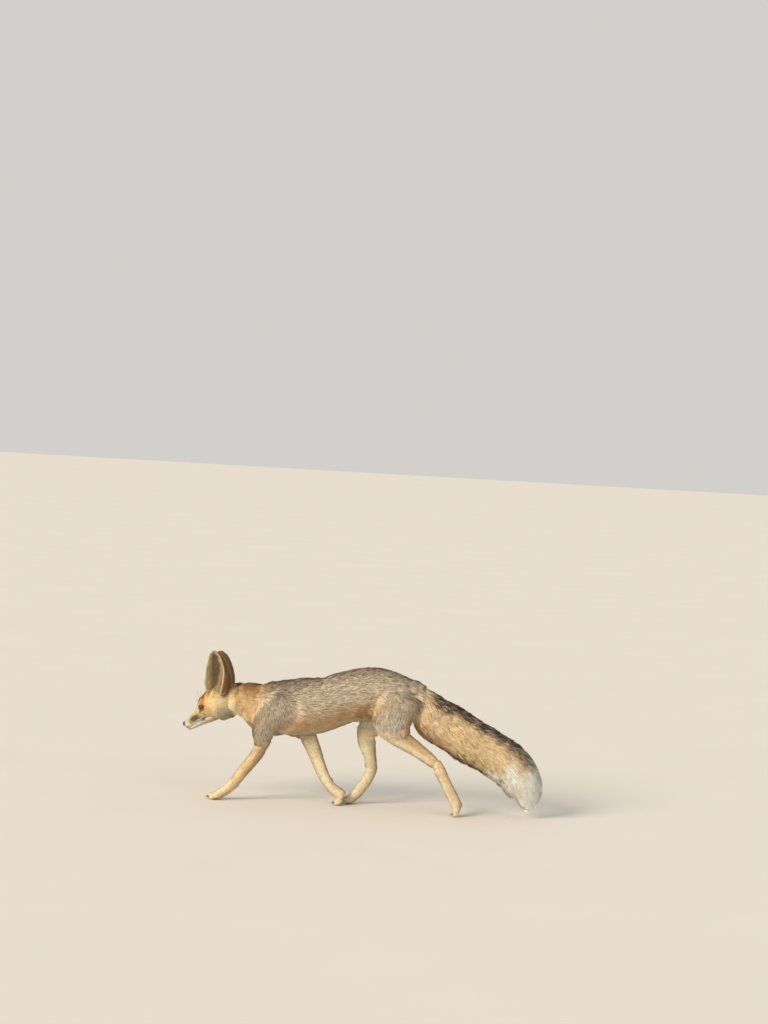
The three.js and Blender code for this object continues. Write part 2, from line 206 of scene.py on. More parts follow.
def unit(v):
    return v / np.maximum(np.linalg.norm(v, axis=-1, keepdims=True), 1e-9)


def smoothstep(x, low, high):
    t = np.clip((x - low) / (high - low), 0, 1)
    return t * t * (3 - 2 * t)


def spline(rows, share):
    """The smooth curve through the rows, at shares from 0 to 1."""
    rows = np.asarray(rows, float)
    ends = [2 * rows[0] - rows[1], *rows, 2 * rows[-1] - rows[-2]]
    ends = np.asarray(ends)
    place = np.clip(np.asarray(share, float), 0, 1) * (len(rows) - 1)
    i = np.minimum(place.astype(int), len(rows) - 2)
    t = (place - i)[..., None]
    a, b, c, d = ends[i], ends[i + 1], ends[i + 2], ends[i + 3]
    slope_b, slope_c = (c - a) / 2, (d - b) / 2
    t2, t3 = t * t, t * t * t
    return (
        (2 * t3 - 3 * t2 + 1) * b
        + (t3 - 2 * t2 + t) * slope_b
        + (3 * t2 - 2 * t3) * c
        + (t3 - t2) * slope_c
    )


class Shape:
    """A part of the body within a box, whose gap() says how far outside it each point is."""

    def near(self, points):
        return np.all((points > self.low) & (points < self.high), axis=1)

    def join(self, gap, points, softness, *how):
        """Runs this shape into what the gaps already measure."""
        near = self.near(points)
        if near.any():
            gap[near] = smooth_min(gap[near], self.gap(points[near], *how), softness)


class Limb(Shape):
    """A body part as a swept oval along its stations."""

    def __init__(self, rows, place=None, samples=48, cap=0.7, taper=(0, 0)):
        share = np.linspace(0, 1, samples)
        line = spline([r[:3] for r in rows], share)
        ahead = spline([r[:3] for r in rows], share + 1e-3)
        behind = spline([r[:3] for r in rows], share - 1e-3)
        along = unit(ahead - behind)
        across = np.array([0.0, 1.0, 0.0]) - along * along[:, 1:2]
        across = unit(across)
        over = np.cross(along, across)
        if place is not None:
            turn, start = place
            line = line @ turn.T + start
            along, across, over = along @ turn.T, across @ turn.T, over @ turn.T
        self.line, self.along, self.across, self.over = line, along, across, over
        self.size = spline([r[3:6] for r in rows], share)
        slim = 1 - taper[0] * (1 - smoothstep(share, 0, 0.14)) - taper[1] * smoothstep(share, 0.84, 1)
        self.size = self.size * slim[:, None]
        self.depth = spline([(r[6],) for r in rows], share)[:, 0]
        self.cap = cap
        reach = self.size.max() + 14
        self.low, self.high = line.min(0) - reach, line.max(0) + reach

    def locate(self, points):
        """Share along the line, the offset across, over and along, and the sizes there."""
        n = len(self.line)
        place = np.empty(len(points))
        for start in range(0, len(points), 200000):
            chunk = points[start : start + 200000].astype(np.float32)
            gaps = (
                (chunk**2).sum(1)[:, None]
                - 2 * chunk @ self.line.T.astype(np.float32)
                + (self.line**2).sum(1).astype(np.float32)
            )
            place[start : start + 200000] = gaps.argmin(1)
        for _ in range(3):
            centre = self.at(self.line, place)
            along = unit(self.at(self.along, place))
            step = ((points - centre) * along).sum(1)
            i = np.clip(place.astype(int), 0, n - 2)
            spacing = np.linalg.norm(self.line[i + 1] - self.line[i], axis=1)
            place = np.clip(place + 0.8 * step / spacing, 0, n - 1)
        centre = self.at(self.line, place)
        offset = points - centre
        along = unit(self.at(self.along, place))
        across = unit(self.at(self.across, place))
        over = np.cross(along, across)
        return {
            "share": place / (n - 1),
            "a": (offset * across).sum(1),
            "b": (offset * over).sum(1),
            "c": (offset * along).sum(1),
            "size": self.at(self.size, place),
            "depth": self.at(self.depth[:, None], place)[:, 0],
            "along": along,
        }

    @staticmethod
    def at(values, place):
        i = np.clip(place.astype(int), 0, len(values) - 2)
        t = (place - i)[:, None]
        return values[i] * (1 - t) + values[i + 1] * t

    def gap(self, points, coat=False, found=None):
        """How far outside the skin, or outside the coat, each point is."""
        f = found or self.locate(points)
        depth = np.zeros(len(points)) if coat else f["depth"]
        wide = np.maximum(f["size"][:, 0] - depth, 1.5)
        tall = np.where(f["b"] > 0, f["size"][:, 1], f["size"][:, 2])
        tall = np.maximum(tall - depth, 1.5)
        end = np.maximum(self.cap * f["size"][:, 0] - depth, 1.5)
        offset = np.stack([f["a"] / wide, f["b"] / tall, f["c"] / end], 1)
        q = np.maximum(np.linalg.norm(offset, axis=1), 1e-6)
        r = np.sqrt(f["a"] ** 2 + f["b"] ** 2 + f["c"] ** 2)
        return np.where(q > 1e-5, r * (1 - 1 / q), -np.minimum(wide, tall))


def turn_x(angle):
    c, s = math.cos(angle), math.sin(angle)
    return np.array([[1, 0, 0], [0, c, -s], [0, s, c]])


def turn_y(angle):
    c, s = math.cos(angle), math.sin(angle)
    return np.array([[c, 0, s], [0, 1, 0], [-s, 0, c]])


HEAD_TURN = turn_x(HEAD_ROLL) @ turn_y(-HEAD_PITCH)


def to_head(points):
    return (points - NOSE) @ HEAD_TURN


def from_head(points):
    return np.asarray(points, float) @ HEAD_TURN.T + NOSE


class Ear(Shape):
    """A cup of thin gristle that stands on the head, opening forwards and outwards."""

    def __init__(self, side):
        open_to = unit(np.array([-0.54, side * 0.74, 0.39]))
        rise = unit(np.array([0.46, side * 0.2, 0.86]))
        chord = unit(np.cross(open_to, rise))
        back = unit(np.cross(rise, chord))
        if back @ open_to > 0:
            back = -back
        self.side = side
        self.rise, self.chord, self.back = HEAD_TURN @ rise, HEAD_TURN @ chord, HEAD_TURN @ back
        self.root = from_head([EAR_ROOT[0], side * EAR_ROOT[1], EAR_ROOT[2]])
        tip = self.root + self.rise * EAR_HEIGHT
        self.low = np.minimum(self.root, tip) - 42
        self.high = np.maximum(self.root, tip) + 42
        share = np.linspace(0, 1, EAR_STEPS)
        table = spline([(r[1], r[2], r[3]) for r in EAR], share)
        heights = spline([(r[0],) for r in EAR], share)[:, 0]
        self.table = np.stack([np.interp(share, heights, table[:, i]) for i in range(3)], 1)

    def locate(self, points):
        offset = points - self.root
        height = offset @ self.rise
        share = np.clip(height / EAR_HEIGHT, 0, 1)
        sizes = Limb.at(self.table, share * (EAR_STEPS - 1))
        u, v = offset @ self.chord, offset @ self.back
        wide, deep = sizes[:, 0] - EAR_NAP, sizes[:, 1] - EAR_NAP
        roll = np.radians(sizes[:, 2])
        angle = np.arctan2(u / wide, v / deep)
        held = np.clip(angle, -roll, roll)
        du, dv = u - wide * np.sin(held), v - deep * np.cos(held)
        dh = height - share * EAR_HEIGHT
        away = np.sqrt(du**2 + dv**2 + dh**2)
        inner = np.hypot(u / wide, v / deep) < 1
        return {
            "share": share,
            "away": away,
            "inner": inner,
            "rim": held / roll,
            "lateral": -np.sign(held) * self.side,
        }

    def gap(self, points, wall):
        f = self.locate(points)
        return f["away"] - wall / 2 * (1.15 - 0.35 * f["share"])


def smooth_min(a, b, k):
    h = np.maximum(k - np.abs(a - b), 0) / k
    return np.minimum(a, b) - h * h * k / 4


def toe_rows(leg, place):
    middle = leg["paw"][-1][1] + place * TOE_SPACING
    (from_x, from_z), (to_x, to_z) = leg["toe_from"], leg["toe_to"]
    reach = 0.78 if abs(place) > 1 else 1
    tip_x = from_x + (to_x - from_x) * reach
    return [
        (from_x, middle, from_z, 4.4, 6.5, 6.5, 0.9),
        ((from_x + tip_x) / 2, middle, (from_z + to_z) / 2 + 1.2, 4.4, 6.5, 6.5, 0.9),
        (tip_x, middle, to_z + 0.6, 4.1, 6.1, 5.7, 0.8),
    ]


# Every limb with how softly it runs into what is before it.
limbs = [("trunk", Limb(TRUNK), 1), ("tail", Limb(TAIL), 20)]
for leg_name, leg in LEGS.items():
    limbs.append((leg_name + "_upper", Limb(leg["upper"], taper=(0, 0.22)), 20))
for leg_name, leg in LEGS.items():
    limbs.append((leg_name + "_lower", Limb(leg["lower"], taper=(0.2, 0.2)), 8))
    limbs.append((leg_name + "_paw", Limb(leg["paw"], taper=(0.15, 0)), 5))
    for toe in TOES:
        limbs.append((leg_name + "_toe", Limb(toe_rows(leg, toe), samples=12), 1.6))
limbs.append(("skull", Limb(SKULL, place=(HEAD_TURN, NOSE), cap=0.6), 12))
limbs.append(("jaw", Limb(JAW, place=(HEAD_TURN, NOSE)), 1.4))
ears = [Ear(side) for side in SIDES]
GAZE = {side: unit(np.array([-0.52, side * 0.82, 0.22])) for side in SIDES}


def eye_frame(side):
    """The eye's middle in the head's frame, with its gaze, its length towards the ear, and its height."""
    gaze = GAZE[side]
    up = np.array([0.50, 0, 0.87])
    height = unit(up - gaze * (gaze @ up))
    length = unit(np.cross(gaze, height))
    if length[0] < 0:
        length = -length
    return np.array([EYE_BACK, side * EYE_OUT, EYE_UP]), gaze, length, height


def eye_oval(along, up):
    """1 at the edge of the eye's opening, less inside it."""
    return np.hypot(along / OPENING, (up - OPENING_TILT * along) / OPENING_TALL)


def face_detail(points, gap):
    """The brow over each eye, the fold under it, and a hollow for the eyeball."""
    local = to_head(points)
    stem = np.linalg.norm((local - [9.4, 0, -1.2]) / [7.4, 6.4, 5.6], axis=1)
    gap = smooth_min(gap, (stem - 1) * 5.6, 2.5)
    for side in SIDES:
        centre, gaze, length, height = eye_frame(side)
        offset = local - centre
        distance = np.linalg.norm(offset, axis=1)
        near = distance < 24
        bulge = distance - (EYE_RADIUS + 1.1)
        brow = np.linalg.norm(offset - height * 8.5 + length * 1.0 + gaze * 0.5, axis=1) - 5.0
        fold = np.linalg.norm(offset + height * 8.5 + length * 2.0 + gaze * 1.6, axis=1) - 4.6
        gap = np.where(near, smooth_min(gap, bulge, 3), gap)
        gap = np.where(near, smooth_min(gap, brow, 6), gap)
        gap = np.where(near, smooth_min(gap, fold, 5), gap)
        along, up, out = offset @ length, offset @ height, offset @ gaze
        opening = np.maximum(eye_oval(along, up) - 1, 0.5 - out)
        gap = np.where(near, np.maximum(gap, -np.maximum(opening * 4, distance - 12)), gap)
        gap = np.where(near, np.maximum(gap, EYE_RADIUS - 0.5 - distance), gap)
    return gap


def limbs_gap(points, coat=False):
    """How far each point is outside all the limbs' skin, or outside the tips of their coat."""
    gap = np.full(len(points), FAR)
    for _, limb, softness in limbs:
        limb.join(gap, points, softness, coat)
    return gap


def skin_gap(points, fine=True):
    """How far each point is outside the skin."""
    gap = limbs_gap(points)
    for ear in ears:
        ear.join(gap, points, EAR_SOFTNESS, EAR_WALL)
    if fine:
        near = points[:, 0] < FACE_FROM
        gap[near] = face_detail(points[near], gap[near])
    return np.maximum(gap, LOWEST_SKIN - points[:, 2])


def slope(field, points, step=0.4):
    corners = np.array([[1, -1, -1], [-1, -1, 1], [-1, 1, -1], [1, 1, 1]], float)
    total = np.zeros_like(points)
    for corner in corners:
        total += corner * field(points + corner * step)[:, None]
    return total / (4 * step)


def settle(points, field, rounds=3, most=1.5):
    """Points moved on to the surface where the field is nought."""
    points = points.copy()
    for _ in range(rounds):
        value = field(points)
        g = slope(field, points)
        size = np.maximum((g**2).sum(1), 0.15)
        move = -(value / size)[:, None] * g
        length = np.linalg.norm(move, axis=1, keepdims=True)
        points += move * np.minimum(1, most / np.maximum(length, 1e-9))
    return points


def surface_mesh(gap, low, step):
    """The quads of the surface where the grid's values change sign."""
    cells = np.array(gap.shape) - 1
    total = np.zeros((cells.prod(), 3))
    count = np.zeros(cells.prod())
    quads = []
    for axis in range(3):
        b, c = (axis + 1) % 3, (axis + 2) % 3
        first = np.moveaxis(gap, axis, 0)[:-1]
        second = np.moveaxis(gap, axis, 0)[1:]
        where = np.argwhere((first < 0) != (second < 0))
        f0 = first[tuple(where.T)]
        f1 = second[tuple(where.T)]
        index = np.empty_like(where)
        others = [i for i in range(3) if i != axis]
        index[:, axis] = where[:, 0]
        index[:, others[0]] = where[:, 1]
        index[:, others[1]] = where[:, 2]
        inner = (index[:, b] > 0) & (index[:, c] > 0)
        inner &= (index[:, b] < cells[b]) & (index[:, c] < cells[c])
        index, f0, f1 = index[inner], f0[inner], f1[inner]
        place = index.astype(float)
        place[:, axis] += f0 / (f0 - f1)
        corners = []
        for db, dc in ((-1, -1), (0, -1), (0, 0), (-1, 0)):
            cell = index.copy()
            cell[:, b] += db
            cell[:, c] += dc
            flat = np.ravel_multi_index(cell.T, cells)
            np.add.at(total, flat, place)
            np.add.at(count, flat, 1)
            corners.append(flat)
        quad = np.stack(corners, 1)
        quad[f0 > 0] = quad[f0 > 0][:, ::-1]
        quads.append(quad)
    quads = np.concatenate(quads)
    used, quads = np.unique(quads, return_inverse=True)
    points = total[used] / count[used][:, None] * step + low
    return points, quads.reshape(-1, 4)


# Where the fox's own frame lies in the row's: both eyes' middles are known in the two.
eye_middles = []
for name in EYES:
    low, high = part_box(name)
    eye_middles.append([(low[i] + high[i]) * 500 for i in range(3)])
eyes_here = from_head([[EYE_BACK, side * EYE_OUT, EYE_UP] for side in SIDES])
SHIFT = np.mean(eye_middles, axis=0) - eyes_here.mean(0)
SHIFT[2] = 0


def to_row(points):
    return (np.asarray(points) + SHIFT) / 1000


def in_scene(name, data):
    obj = bpy.data.objects.new(name, data)
    bpy.context.scene.collection.objects.link(obj)
    return obj


def new_object(name, points, faces):
    """A mesh object from arrays: faces all have the same number of corners."""
    mesh = bpy.data.meshes.new(name)
    faces = np.asarray(faces, dtype=np.int32)
    mesh.vertices.add(len(points))
    mesh.vertices.foreach_set("co", to_row(points).astype(np.float32).ravel())
    mesh.loops.add(faces.size)
    mesh.loops.foreach_set("vertex_index", faces.ravel())
    mesh.polygons.add(len(faces))
    mesh.polygons.foreach_set("loop_start", np.arange(len(faces), dtype=np.int32) * faces.shape[1])
    mesh.update(calc_edges=True)
    mesh.polygons.foreach_set("use_smooth", np.ones(len(faces), dtype=bool))
    return in_scene(name, mesh)


def paint(obj, colours):
    """Linear colours kept on the mesh's points."""
    layer = obj.data.color_attributes.new("coat_colour", "FLOAT_COLOR", "POINT")
    full = np.ones((len(colours), 4), dtype=np.float32)
    full[:, :3] = colours
    layer.data.foreach_set("color", full.ravel())


def build_skin():
    low, high = GRID_LOW, GRID_HIGH
    shape = np.ceil((high - low) / GRID_STEP).astype(int)
    axes = [low[i] + np.arange(shape[i]) * GRID_STEP for i in range(3)]
    gap = np.full(shape, FAR)

    def add(shape_low, shape_high, measure, softness):
        spans = []
        for i in range(3):
            start = np.searchsorted(axes[i], shape_low[i])
            spans.append(slice(start, np.searchsorted(axes[i], shape_high[i])))
        block = np.stack(
            np.meshgrid(*[axes[i][spans[i]] for i in range(3)], indexing="ij"), -1
        ).reshape(-1, 3)
        part = gap[tuple(spans)]
        gap[tuple(spans)] = smooth_min(part, measure(block).reshape(part.shape), softness)

    for _, limb, softness in limbs:
        add(limb.low + 6, limb.high - 6, limb.gap, softness)
    for ear in ears:
        add(ear.low, ear.high, partial(ear.gap, wall=COARSE_EAR_WALL), EAR_SOFTNESS)
    gap = np.maximum(gap, (LOWEST_SKIN - axes[2])[None, None, :])
    points, quads = surface_mesh(gap, low, GRID_STEP)
    obj = new_object("skin", points, quads)

    # The head, ears and feet get a mesh twice as fine.
    mesh = bmesh.new()
    mesh.from_mesh(obj.data)
    fine = set()
    for face in mesh.faces:
        p = np.array(face.calc_center_median()) * 1000 - SHIFT
        if p[0] < FINE_FROM or p[2] < FINE_BELOW:
            fine.add(face)
    edges = {edge for face in fine for edge in face.edges}
    bmesh.ops.subdivide_edges(mesh, edges=list(edges), cuts=1, use_grid_fill=True)
    bmesh.ops.triangulate(mesh, faces=[f for f in mesh.faces if len(f.verts) > 4])
    mesh.to_mesh(obj.data)
    mesh.free()
    count = len(obj.data.vertices)
    flat = np.empty(count * 3, dtype=np.float32)
    obj.data.vertices.foreach_get("co", flat)
    points = flat.reshape(-1, 3).astype(float) * 1000 - SHIFT
    points = settle(points, skin_gap, rounds=4)
    obj.data.vertices.foreach_set("co", to_row(points).astype(np.float32).ravel())
    obj.data.update()
    obj.data.polygons.foreach_set("use_smooth", np.ones(len(obj.data.polygons), dtype=bool))
    return obj, points


def mesh_arrays(obj):
    """The mesh's triangles, and the normals at its points."""
    mesh = obj.data
    mesh.calc_loop_triangles()
    triangles = np.empty(len(mesh.loop_triangles) * 3, dtype=np.int32)
    mesh.loop_triangles.foreach_get("vertices", triangles)
    normals = np.empty(len(mesh.vertices) * 3, dtype=np.float32)
    mesh.vertices.foreach_get("normal", normals)
    return triangles.reshape(-1, 3), normals.reshape(-1, 3).astype(float)


def linear(*rgb):
    """A colour given as 0-255 on screen, as light."""
    c = np.array(rgb, float) / 255
    return np.where(c <= 0.04045, c / 12.92, ((c + 0.055) / 1.055) ** 2.4)


GREY = linear(198, 178, 146)
BACK_BROWN = linear(138, 108, 72)
SANDY = linear(214, 178, 130)
# Painted shade for the fold low on the flank.
FLANK_FOLD_SHADE = linear(176, 134, 86)
CREAM = linear(244, 218, 174)
PALE = linear(250, 232, 200)
WHITE = linear(252, 246, 232)
RUFOUS = linear(196, 150, 96)
FACE = linear(242, 200, 136)
FACE_PALE = linear(250, 226, 174)
ORANGE = linear(234, 172, 100)
PATCH = linear(112, 84, 52)
BUFF = linear(222, 190, 140)
DARK = linear(78, 54, 32)
# The ear's back: tan, darkened as painted shade.
EAR_BACK_TAN_SHADED = linear(160, 118, 72)
# Painted shade deep in the ear's cup.
EAR_CUP_SHADE = linear(104, 68, 42)
LIP = linear(34, 26, 22)
PAD = linear(58, 46, 40)
SILVER = linear(240, 232, 216)
BRIDGE = linear(240, 208, 156)


def waves(points, size, seed, count=7):
    """A smooth random field between about -1 and 1, with blobs of the given size."""
    local = np.random.default_rng(seed)
    ways = unit(local.normal(size=(count, 3))) * (2 * math.pi / size)
    ways *= local.uniform(0.6, 1.5, size=(count, 1))
    phases = local.uniform(0, 2 * math.pi, count)
    return np.sin(points @ ways.T + phases).sum(1) / math.sqrt(count)


def mix(a, b, share):
    share = np.asarray(share)[..., None]
    return a * (1 - share) + b * share


def bell(x, middle, width):
    return np.exp(-(((x - middle) / width) ** 2))


def survey(points):
    """What lies at each point of the skin: its limb, the lie of the coat, its depth and its colour."""
    n = len(points)
    weight_sum = np.zeros(n)
    flow = np.zeros((n, 3))
    nearest = np.full(n, FAR)
    owner = np.full(n, -1)
    share = np.zeros(n)
    ring = np.zeros(n)
    found = {}
    for index, (name, limb, _) in enumerate(limbs):
        near = np.flatnonzero(limb.near(points))
        if not len(near):
            continue
        f = limb.locate(points[near])
        gap = limb.gap(points[near], found=f)
        weight = np.exp(-np.abs(gap) / (9 if "upper" in name or name in ("trunk", "tail") else 5))
        weight_sum[near] += weight
        flow[near] += f["along"] * weight[:, None]
        closer = np.abs(gap) < nearest[near]
        chosen = near[closer]
        nearest[chosen] = np.abs(gap)[closer]
        owner[chosen] = index
        share[chosen] = f["share"][closer]
        ring[chosen] = np.arctan2(
            (f["b"] / f["size"][:, 1])[closer], (f["a"] / f["size"][:, 0])[closer]
        )
        tall = np.maximum(np.where(f["b"] > 0, f["size"][:, 1], f["size"][:, 2]) - f["depth"], 1.5)
        wide = np.maximum(f["size"][:, 0] - f["depth"], 1.5)
        record = found.setdefault(name, {"gap": np.full(n, FAR)})
        for key in ("share", "a", "b"):
            record.setdefault(key, np.zeros(n))
        better = gap < record["gap"][near]
        record["gap"][near[better]] = gap[better]
        record["share"][near[better]] = f["share"][better]
        record["a"][near[better]] = (f["a"] / wide)[better]
        record["b"][near[better]] = (f["b"] / tall)[better]
    flow /= np.maximum(weight_sum, 1e-9)[:, None]
    return found, flow, owner, share, ring


def body_colours(x, b):
    """Grizzled back, sandy flank with painted shade in its fold, pale belly; and the neck, tan with a darker
    nape.
    """
    colour = mix(SANDY, GREY, smoothstep(b, -0.75, 0.25))
    ridge = smoothstep(b, 0.68, 0.98) * (1 - 0.5 * smoothstep(x, 10, 90))
    colour = mix(colour, BACK_BROWN, 0.5 * ridge)
    withers = smoothstep(b, 0.35, 0.9) * bell(x, -132, 42)
    colour = mix(colour, BACK_BROWN, 0.5 * withers)
    # Painted shade in the fold low on the flank, before the thigh.
    colour = mix(colour, FLANK_FOLD_SHADE, 0.85 * bell(x, 22, 34) * bell(b, -0.42, 0.3))
    colour = mix(colour, CREAM, 0.7 * smoothstep(-b, 0.5, 0.8) * (1 - smoothstep(x, -30, 10)))
    colour = mix(colour, PALE, smoothstep(-b, 0.75, 0.95))
    neck_colour = mix(SANDY * 1.03, RUFOUS, smoothstep(b, 0.25, 0.95))
    neck_colour = mix(neck_colour, FACE_PALE, smoothstep(-b, 0.1, 0.85))
    neck = 1 - smoothstep(x, -200, -150)
    return mix(colour, neck_colour, neck), neck


def leg_tone(piece, fore, t, b):
    """Grizzled shoulders and thighs, cream in front and below, tan behind."""
    if piece == "upper" and fore:
        tone = mix(mix(GREY, BACK_BROWN, 0.3), SANDY, 0.4 * smoothstep(t, 0.7, 1))
        return mix(tone, BACK_BROWN, 0.45 * smoothstep(-b, 0.3, 0.9))
    if piece == "upper":
        tone = mix(GREY, SILVER * 0.9, 0.35 * bell(b, -0.1, 0.5))
        tone = mix(tone, CREAM, smoothstep(-b, 0.35, 0.85) * smoothstep(t, 0.55, 0.95))
        tone = mix(tone, RUFOUS, smoothstep(b, 0.4, 0.9) * 0.7 * smoothstep(t, 0.1, 0.5))
        return mix(tone, SANDY, 0.7 * smoothstep(t, 0.75, 1))
    if piece == "lower" and fore:
        tone = mix(SANDY, CREAM, smoothstep(-b, -0.6, 0.4))
        tone = mix(tone, BACK_BROWN, 0.45 * (1 - smoothstep(t, 0.0, 0.35)) * smoothstep(b, -0.6, 0.4))
        return mix(tone, CREAM, smoothstep(t, 0.45, 0.9))
    if piece == "lower":
        return mix(mix(SANDY, PALE, smoothstep(-b, -0.45, 0.25)), CREAM, smoothstep(t, 0.55, 0.95))
    return mix(CREAM, PALE, smoothstep(-b, -0.2, 0.5))


def add_leg_colours(colour, normals, found):
    for name, leg in LEGS.items():
        fore = name.startswith("fore")
        medial = smoothstep(-normals[:, 1] * np.sign(leg["paw"][0][1]), 0.25, 0.8)
        for piece in LEG_PIECES:
            gap, t, b = (found[f"{name}_{piece}"][key] for key in ("gap", "share", "b"))
            tone = leg_tone(piece, fore, t, b)
            upper = piece == "upper"
            tone = mix(tone, PALE, medial * (0.5 if upper else 0.8) * smoothstep(-gap, -4, 0))
            here = smoothstep(-gap, -9 if upper else -4, 1)
            if upper:
                here = here * smoothstep(t, 0.02 if fore else 0.0, 0.2)
            colour = mix(colour, tone, here)
    return colour


def add_brush_colours(colour, points, tail, blotch, grain):
    """Buff, with dark hairs along the top and bottom, a dark spot near the root and a white tip."""
    gap, t, b = tail["gap"], tail["share"], tail["b"]
    streak = 0.5 + 0.5 * waves(points * np.array([0.3, 1, 1]), 10, 21)
    tone = mix(mix(BUFF, CREAM, 0.5 * streak), GREY, 0.4 * (1 - smoothstep(t, 0.1, 0.35)))
    dark_top = smoothstep(b + 0.12 * streak, 0.7, 1.0) * smoothstep(t, 0.04, 0.16)
    dark_low = smoothstep(-b + 0.12 * streak, 0.7, 1.0) * smoothstep(t, 0.18, 0.42)
    spot = bell(t, 0.17, 0.05) * smoothstep(b, 0.3, 0.7)
    tone = mix(tone, DARK, np.clip(dark_top * 0.95 + dark_low * 0.9 + spot * 0.5, 0, 0.96))
    tone = mix(tone, RUFOUS, 0.5 * smoothstep(-b, 0.05, 0.5) * (1 - smoothstep(t, 0.2, 0.42)))
    tip = smoothstep(t - 0.045 * b + 0.03 * blotch + 0.02 * grain, 0.60, 0.67)
    tone = mix(tone, WHITE, tip)
    here = smoothstep(-gap, -9, 1) * smoothstep(points[:, 0], 118, 142)
    return mix(colour, tone, here), tip


def face_tone(hx, hy, hz):
    """Orange round the eyes, pale cheeks and lips, a dark patch before each eye, and a painted shadow on the
    nape.
    """
    side = np.abs(hy)
    tone = mix(FACE_PALE, FACE, smoothstep(hz, 4, 28))
    tone = mix(tone, ORANGE, 0.6 * bell(hx, 62, 13) * bell(hz, 16, 11))
    tone = mix(tone, ORANGE, 0.75 * bell(hx, 57, 11) * bell(hz, 1, 7))
    tone = mix(tone, PALE, smoothstep(-hz, 6, 17))
    bridge = (1 - smoothstep(hx, 40, 56)) * smoothstep(hz, 2, 9)
    tone = mix(tone, BRIDGE, 0.8 * bridge)
    patch = bell(hx, 25, 10) * bell(hz, -2, 5.2) * smoothstep(side, 4, 9)
    tone = mix(tone, PATCH, np.clip(1.3 * patch, 0, 0.92))
    tear = bell(hx, 45, 5) * bell(hz - 0.5 * (hx - 45), 3.4, 1.8)
    tone = mix(tone, PATCH * 0.5, np.clip(1.1 * tear, 0, 0.9) * (side > 8))
    lips = (1 - smoothstep(hx, 34, 46)) * smoothstep(-hz, 6.0, 8.5)
    tone = mix(tone, WHITE, 0.9 * lips)
    tone = mix(tone, WHITE * 0.95, 0.7 * (1 - smoothstep(hx, 10, 17)))
    corner = bell(hx, 40, 5) * bell(hz, -13.5, 2.2) * smoothstep(side, 6, 11)
    tone = mix(tone, LIP, np.clip(1.2 * corner, 0, 0.85))
    # Painted shadow of the ears on the nape.
    nape = smoothstep(hx, 96, 116) * smoothstep(hz, -4, 20)
    return mix(tone, BACK_BROWN, 0.6 * nape)


def add_ear_colours(colour, points):
    """Tan behind, darkened by painted shade; cream at the rims; painted shade deep inside the cup."""
    for ear in ears:
        near = ear.near(points)
        f = ear.locate(points[near])
        edge = np.abs(f["rim"])
        rim = np.maximum(smoothstep(edge, 0.52, 0.86), smoothstep(f["share"], 0.86, 0.97))
        front = (f["lateral"] < 0) * (1 - smoothstep(f["share"], 0.4, 0.75))
        rim = np.maximum(rim, front * smoothstep(edge, 0.2, 0.5))
        # Inside the cup: painted shade, paling to cream towards the rims.
        inside = mix(EAR_CUP_SHADE, FACE_PALE, 0.12 + 0.88 * rim)
        # The back: tan with painted shade, darker towards the tip.
        behind = mix(EAR_BACK_TAN_SHADED, DARK, 0.35 * smoothstep(f["share"], 0.1, 0.9))
        behind = mix(behind, CREAM, smoothstep(edge, 0.9, 1.0))
        tone = np.where(f["inner"][:, None], inside, behind)
        colour[near] = mix(colour[near], tone, smoothstep(-(f["away"] - 2), -4, 0))


def bare_places(points, normals, found, head_gap):
    """The bare, dark skin: the mouth's line and the eyes' rims, the soles, and round the nose."""
    local = to_head(points)
    hx, _, hz = local.T
    crack = np.abs(found["skull"]["gap"] - found["jaw"]["gap"])
    mouth = (1 - smoothstep(crack, 0.5, 1.4)) * (1 - smoothstep(hx, 38, 43)) * (hx > 5)
    dark = [mouth * (head_gap < 3) * (hz < -4)]
    for side in SIDES:
        centre, _, length, height = eye_frame(side)
        offset = local - centre
        along, up = offset @ length, offset @ height
        oval = eye_oval(along, up)
        dark.append((1 - smoothstep(oval, 1.05, 1.3)) * (np.linalg.norm(offset, axis=1) < 14))
    sole = smoothstep(-normals[:, 2], 0.55, 0.9) * (points[:, 2] < 7)
    nose = 1 - smoothstep(np.linalg.norm(local - [4.6, 0, -0.2], axis=1), 5.6, 6.6)
    return dark, sole, nose


def grizzled(points, found, b, neck, tip, head_gap):
    """How much of the coat has black and white tips."""
    mixed = smoothstep(b, -0.6, 0.3) * (1 - 0.85 * neck)
    for name in LEGS:
        for piece in LEG_PIECES:
            here = found[f"{name}_{piece}"]
            hold = 0.8 * (1 - smoothstep(here["share"], 0.6, 1)) if piece == "upper" else 0.0
            mixed = mixed + (hold - mixed) * smoothstep(-here["gap"], -6, 0.5)
    brushed = smoothstep(-found["tail"]["gap"], -9, 1) * smoothstep(points[:, 0], 118, 140)
    mixed = mixed + (0.4 * (1 - tip) - mixed) * brushed
    mixed = mixed + (0.05 - mixed) * smoothstep(-head_gap, -9, 0)
    return np.clip(mixed, 0, 1)


def markings(points, normals, found):
    """The fox's markings with its painted shade and shadow at each point of the skin, where it is bare, and
    how grizzled the coat is.
    """
    blotch, grain = waves(points, 34, 11), waves(points, 11, 12)
    b = found["trunk"]["b"] + 0.06 * blotch
    colour, neck = body_colours(points[:, 0], b)
    colour = add_leg_colours(colour, normals, found)
    colour, tip = add_brush_colours(colour, points, found["tail"], blotch, grain)
    hx, hy, hz = to_head(points).T
    head_gap = np.minimum(found["skull"]["gap"], found["jaw"]["gap"])
    here = smoothstep(-head_gap, -10, 0) * (1 - smoothstep(hx, 96, 128))
    colour = mix(colour, face_tone(hx, hy, hz), here)
    dark, sole, nose = bare_places(points, normals, found, head_gap)
    for place in dark:
        colour = mix(colour, LIP, place)
    add_ear_colours(colour, points)
    colour = mix(mix(colour, PAD, sole), LIP, nose)
    colour = colour * (1 + 0.05 * blotch + 0.04 * grain)[:, None]
    bare = np.max([*dark, sole, nose], axis=0)
    return np.clip(colour, 0.004, 0.95), bare, grizzled(points, found, b, neck, tip, head_gap)


